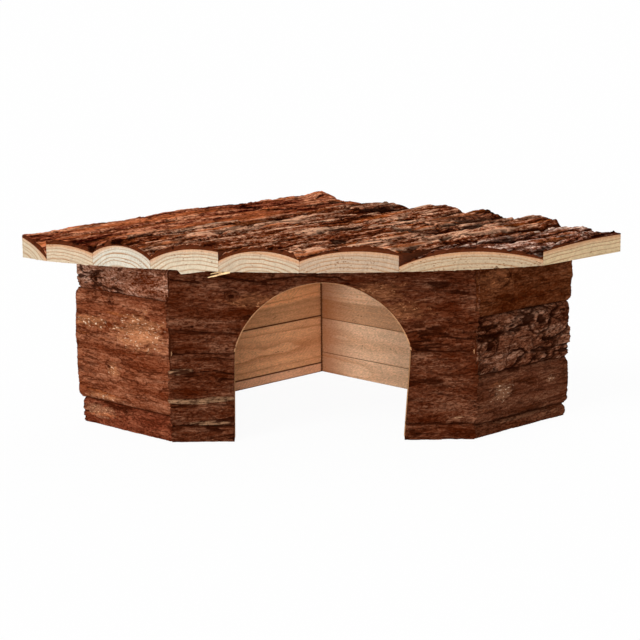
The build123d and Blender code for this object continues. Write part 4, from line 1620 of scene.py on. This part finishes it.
@dataclass
class Roof:
    """The eight boards of the roof, from the rear left edge to the right side edge."""

    plan: Plan
    last_reach: float = 1.5         # how far the last board's front corner lies in along the side edge
    front_widths: tuple[float, ...] = (25.8, 30.6, 34.9, 40.5, 49.5)
    rear_widths: tuple[float, ...] = (18.9, 30.8, 28.2, 39.9, 32.5, 33.5, 20.6)
    boards: tuple[RoofBoard, ...] = (
        RoofBoard(1, 10.6, 7, 10.2, 0.8, 20.3, ROOF_SMOOTH, ROOF_ORANGE,
                  swells=(Swell(0.54, 0.1, 0.22, 0.7, 2.2), Swell(0.97, 0.6, 0.06, 0.7, 2))),
        RoofBoard(2, 8.7, 9.3, 9, 6.3, 27.3, ROOF_SMOOTH, ROOF_ORANGE, nose=-1.8),
        RoofBoard(3, 6.3, 10.7, 11.2, 3.8, 30.9, ROOF_ROUGH, ROOF_MIXED, 0.6, nose=-1.8),
        RoofBoard(4, 4.5, 10.7, 19.2, 9.7, 32, ROOF_SMOOTH, ROOF_MIXED, 0.5, (Tooth(0.4, 0.45, 0.83, 2.1),)),
        RoofBoard(5, 5.1, 10.4, 14, 5.5, 33.1, ROOF_ROUGH, ROOF_MIXED, nose=2),
        RoofBoard(6, 5.5, 10.6, 21, 7.5, 35.4, ROOF_ROUGH, ROOF_MIXED, 0.5),
        RoofBoard(7, 2.5, 8.8, 23.7, 3.4, 38.4, ROOF_ROUGH, ROOF_GREY, 0.9, (Tooth(0.65, 0.67, 0.69, -1.4),),
                  nose=0),
        RoofBoard(8, 6.8, 8.7, 8, 9.2, 17.4, ROOF_ROUGH, ROOF_GREY, 0.1, nose=-1.2))

    def joints(self) -> list[Line]:
        """The plan lines between the boards, with the roof's two sawn sides outermost.

        Returns:
            The lines, from the rear left edge to the right side edge.
        """
        plan = self.plan
        lines = [Line(plan.roof_left_tip, plan.roof_rear_corner)]
        places = [plan.roof_left_corner.x + sum(self.front_widths[:n]) for n in range(1, 6)]
        fronts = [plan.roof_left_corner] + [Vector((x, plan.bow_level(x))) for x in places]
        fronts.append(plan.roof_right_corner)
        for number, front in enumerate(fronts, start=1):
            rear = plan.roof_rear_corner + plan.roof_rear_way * sum(self.rear_widths[:number])
            lines.append(Line(front, rear))
        lines.append(Line(plan.roof_right_corner, plan.roof_right_tip))
        return lines

    def build(self) -> None:
        """Builds and dresses every board."""
        joints = self.joints()
        for board, left, right in zip(self.boards, joints, joints[1:]):
            reach = self.last_reach if board.number == LAST_BOARD else 0.0
            corners = (left.start, right.start + right.along * reach, left.end, right.end)
            piece = RoofPiece(self.plan, board, left, corners)
            base = Base(left.start, self.plan.wall_height, left.turn)
            centre = left.start - left.left * board.centre_across
            heart = Base(centre, base.level + board.centre_up, left.turn)
            wood_finish = replace(ROOF_WOOD, early=END_TONES[board.number - 1], speck_share=board.specks)
            name = board.bark_node
            bark = model(name + ".piece", piece.cells(), piece.form_bark, BARK_CREASE, fine=BARK_CUTS)
            dress(bark, board.finish.material(name, base, board.seed), name)
            name = f"roof_slab_{board.number}"
            wood = model(name + ".piece", piece.cells(), piece.form_wood, WOOD_CREASE, 3, ROOF_WOOD_CUTS)
            dress(wood, wood_finish.material(name, heart, board.radius, board.seed), name)


@dataclass
class Splinter:
    """A thin sliver of torn wood, from a broad root to a point, in millimetres."""

    name: str
    root: Vector
    point: Vector
    width: float
    thickness: float
    colour: Tint = (226, 190, 140)
    log_radius: float = 30.0

    def build(self) -> None:
        """Models the sliver and dresses it."""
        piece = model(self.name, (10, 2), self._form, WOOD_CREASE)
        finish = replace(ROOF_WOOD, early=self.colour)
        heart = Base(self.root, self.root.z, 0.0)
        dress(piece, finish.material(self.name, heart, self.log_radius, self.width))

    def _form(self, tree: Modifier, x: Signal, y: Signal, z: Signal) -> None:
        """Forms the sliver from a block.

        Args:
            tree: The modifier.
            x: Share from the root to the point.
            y: Share across.
            z: Share of the thickness.
        """
        taper = (1 - x) ** 0.6 * 0.9 + 0.1
        run = tree.blend(tree.vector(*self.root), tree.vector(*self.point), x)
        ragged = tree.noise((x * 9, y * 2, self.width), 3) - 0.5
        across, up = (y - 0.5) * taper * self.width, (z - 0.5) * taper * self.thickness
        tree.move(run + tree.vector(0.0, across, up + ragged * 0.5))


@dataclass
class TornEdges:
    """The slivers that the saw has left under the roof's front edge."""

    plan: Plan

    def build(self) -> None:
        """Builds the slivers."""
        under = self.plan.wall_height
        for name, x_root, x_point, fall, width, thickness in (
                ("splinter_hanging", -46.0, -57.5, 3.4, 2.2, 1.2),
                ("splinter_middle", -50.0, -56.0, 1.5, 1.4, 0.9)):
            root = Vector((x_root, self.plan.bow_level(x_root) + 1.2, under - 0.1))
            point = Vector((x_point, self.plan.bow_level(x_point) + 0.8, under - fall))
            Splinter(name, root, point, width, thickness).build()


@dataclass
class Brads:
    """The nails of the frame."""

    finish: SteelFinish = SteelFinish()

    def build(self) -> None:
        """Gives the nails their steel."""
        steel = self.finish.material()
        for name in ("long_brads", "short_brads"):
            clothe(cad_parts[name], steel)


@dataclass(frozen=True)
class Lamp:
    """A broad far lamp: where it comes from, in degrees from the front and over the floor, and how bright."""

    name: str
    round: float
    over: float
    breadth: float
    strength: float

    def build(self) -> None:
        """Adds the lamp."""
        turn, rise = math.radians(self.round), math.radians(self.over)
        level = math.cos(rise)
        towards = Vector((math.sin(turn) * level, -math.cos(turn) * level, math.sin(rise)))
        bpy.ops.object.light_add(type="SUN", location=towards)
        lamp = bpy.context.object
        lamp.name = self.name
        lamp.data.angle = math.radians(self.breadth)
        lamp.data.energy = self.strength
        lamp.rotation_euler = towards.to_track_quat("Z", "Y").to_euler()


@dataclass
class Studio:
    """A pale floor, soft lamps and the camera."""

    camera_place: Vector = field(default_factory=lambda: Vector((-2.0, -995.19, 241.02)) * MM)
    pitch: float = math.radians(11.115)
    yaw: float = math.radians(0.048)
    roll: float = math.radians(-0.548)
    focal_share: float = 1812.907 / 640         # focal length over the width of the picture
    sensor: float = 36.0                        # millimetres
    clip: tuple[float, float] = (0.05, 100.0)
    floor_size: float = 60.0                    # metres, and how far it lies under the house
    floor_drop: float = 0.0002
    floor_glow: float = 0.95                    # share of the floor's look that no shadow reaches
    floor_tone: Colour = (0.95, 0.95, 0.95, 1.0)
    around: float = 0.42                        # light from all round
    lamps: tuple[Lamp, ...] = (Lamp("key", -40.0, 42.0, 25.0, 1.6), Lamp("front", -4.0, 6.0, 25.0, 2.4),
                               Lamp("back", 150.0, 40.0, 60.0, 0.5))

    def build(self) -> None:
        """Sets the floor, the lamps, the world and the camera."""
        self._floor()
        for lamp in self.lamps:
            lamp.build()
        self._world()
        self._camera()

    def _floor(self) -> None:
        """A wide pale floor that looks white where nothing shades it."""
        bpy.ops.object.select_all(action="DESELECT")
        bpy.ops.mesh.primitive_plane_add(size=self.floor_size, location=(0.0, 0.0, -self.floor_drop))
        floor = bpy.context.object
        floor.name = "floor"
        tree = Shader("pale floor")
        seen = tree.add("ShaderNodeLightPath", output="Is Camera Ray")
        matte = tree.add("ShaderNodeBsdfDiffuse", inputs={"Color": self.floor_tone})
        glow = tree.add("ShaderNodeEmission", inputs={"Color": WHITE, "Strength": 1.0})
        surface = tree.add("ShaderNodeMixShader", inputs={0: seen * self.floor_glow, 1: matte, 2: glow})
        tree.add("ShaderNodeOutputMaterial", inputs={"Surface": surface})
        floor.data.materials.append(tree.material)

    def _world(self) -> None:
        """Even light from all round, white where the camera sees it."""
        world = bpy.data.worlds.new("studio")
        bpy.context.scene.world = world
        world.use_nodes = True
        tree = Tree(world.node_tree)
        tree.nodes.nodes.clear()
        path = tree.add("ShaderNodeLightPath", output="Is Camera Ray")
        glossy = tree.other(path, "Is Glossy Ray")
        around, white = (tree.add("ShaderNodeBackground", inputs={"Color": WHITE, "Strength": strength})
                         for strength in (self.around, 1.0))
        surface = tree.add("ShaderNodeMixShader", inputs={0: path.most(glossy), 1: around, 2: white})
        tree.add("ShaderNodeOutputWorld", inputs={"Surface": surface})

    def _camera(self) -> None:
        """Puts the camera in its place and turn."""
        camera = bpy.data.objects.new("camera", bpy.data.cameras.new("camera"))
        bpy.context.scene.collection.objects.link(camera)
        level = math.cos(self.pitch)
        ahead = Vector((math.sin(self.yaw) * level, math.cos(self.yaw) * level, -math.sin(self.pitch)))
        right = Vector((math.cos(self.yaw), -math.sin(self.yaw), 0.0))
        up = right.cross(ahead)
        turned_right = right * math.cos(self.roll) + up * math.sin(self.roll)
        turned_up = up * math.cos(self.roll) - right * math.sin(self.roll)
        axes = Matrix((turned_right, turned_up, -ahead)).transposed()
        camera.matrix_world = Matrix.Translation(self.camera_place) @ axes.to_4x4()
        camera.data.sensor_width = self.sensor
        camera.data.lens = self.sensor * self.focal_share
        camera.data.clip_start, camera.data.clip_end = self.clip
        bpy.context.scene.camera = camera


def main() -> None:
    """Builds the house around the frame, and the studio around the house."""
    logging.basicConfig(level=logging.INFO, format="%(name)s: %(message)s")
    plan = Plan()
    Walls(plan).build()
    Roof(plan).build()
    TornEdges(plan).build()
    Brads().build()
    Studio().build()
    bpy.context.scene.view_settings.view_transform = "Standard"


if __name__ == "__main__":
    main()
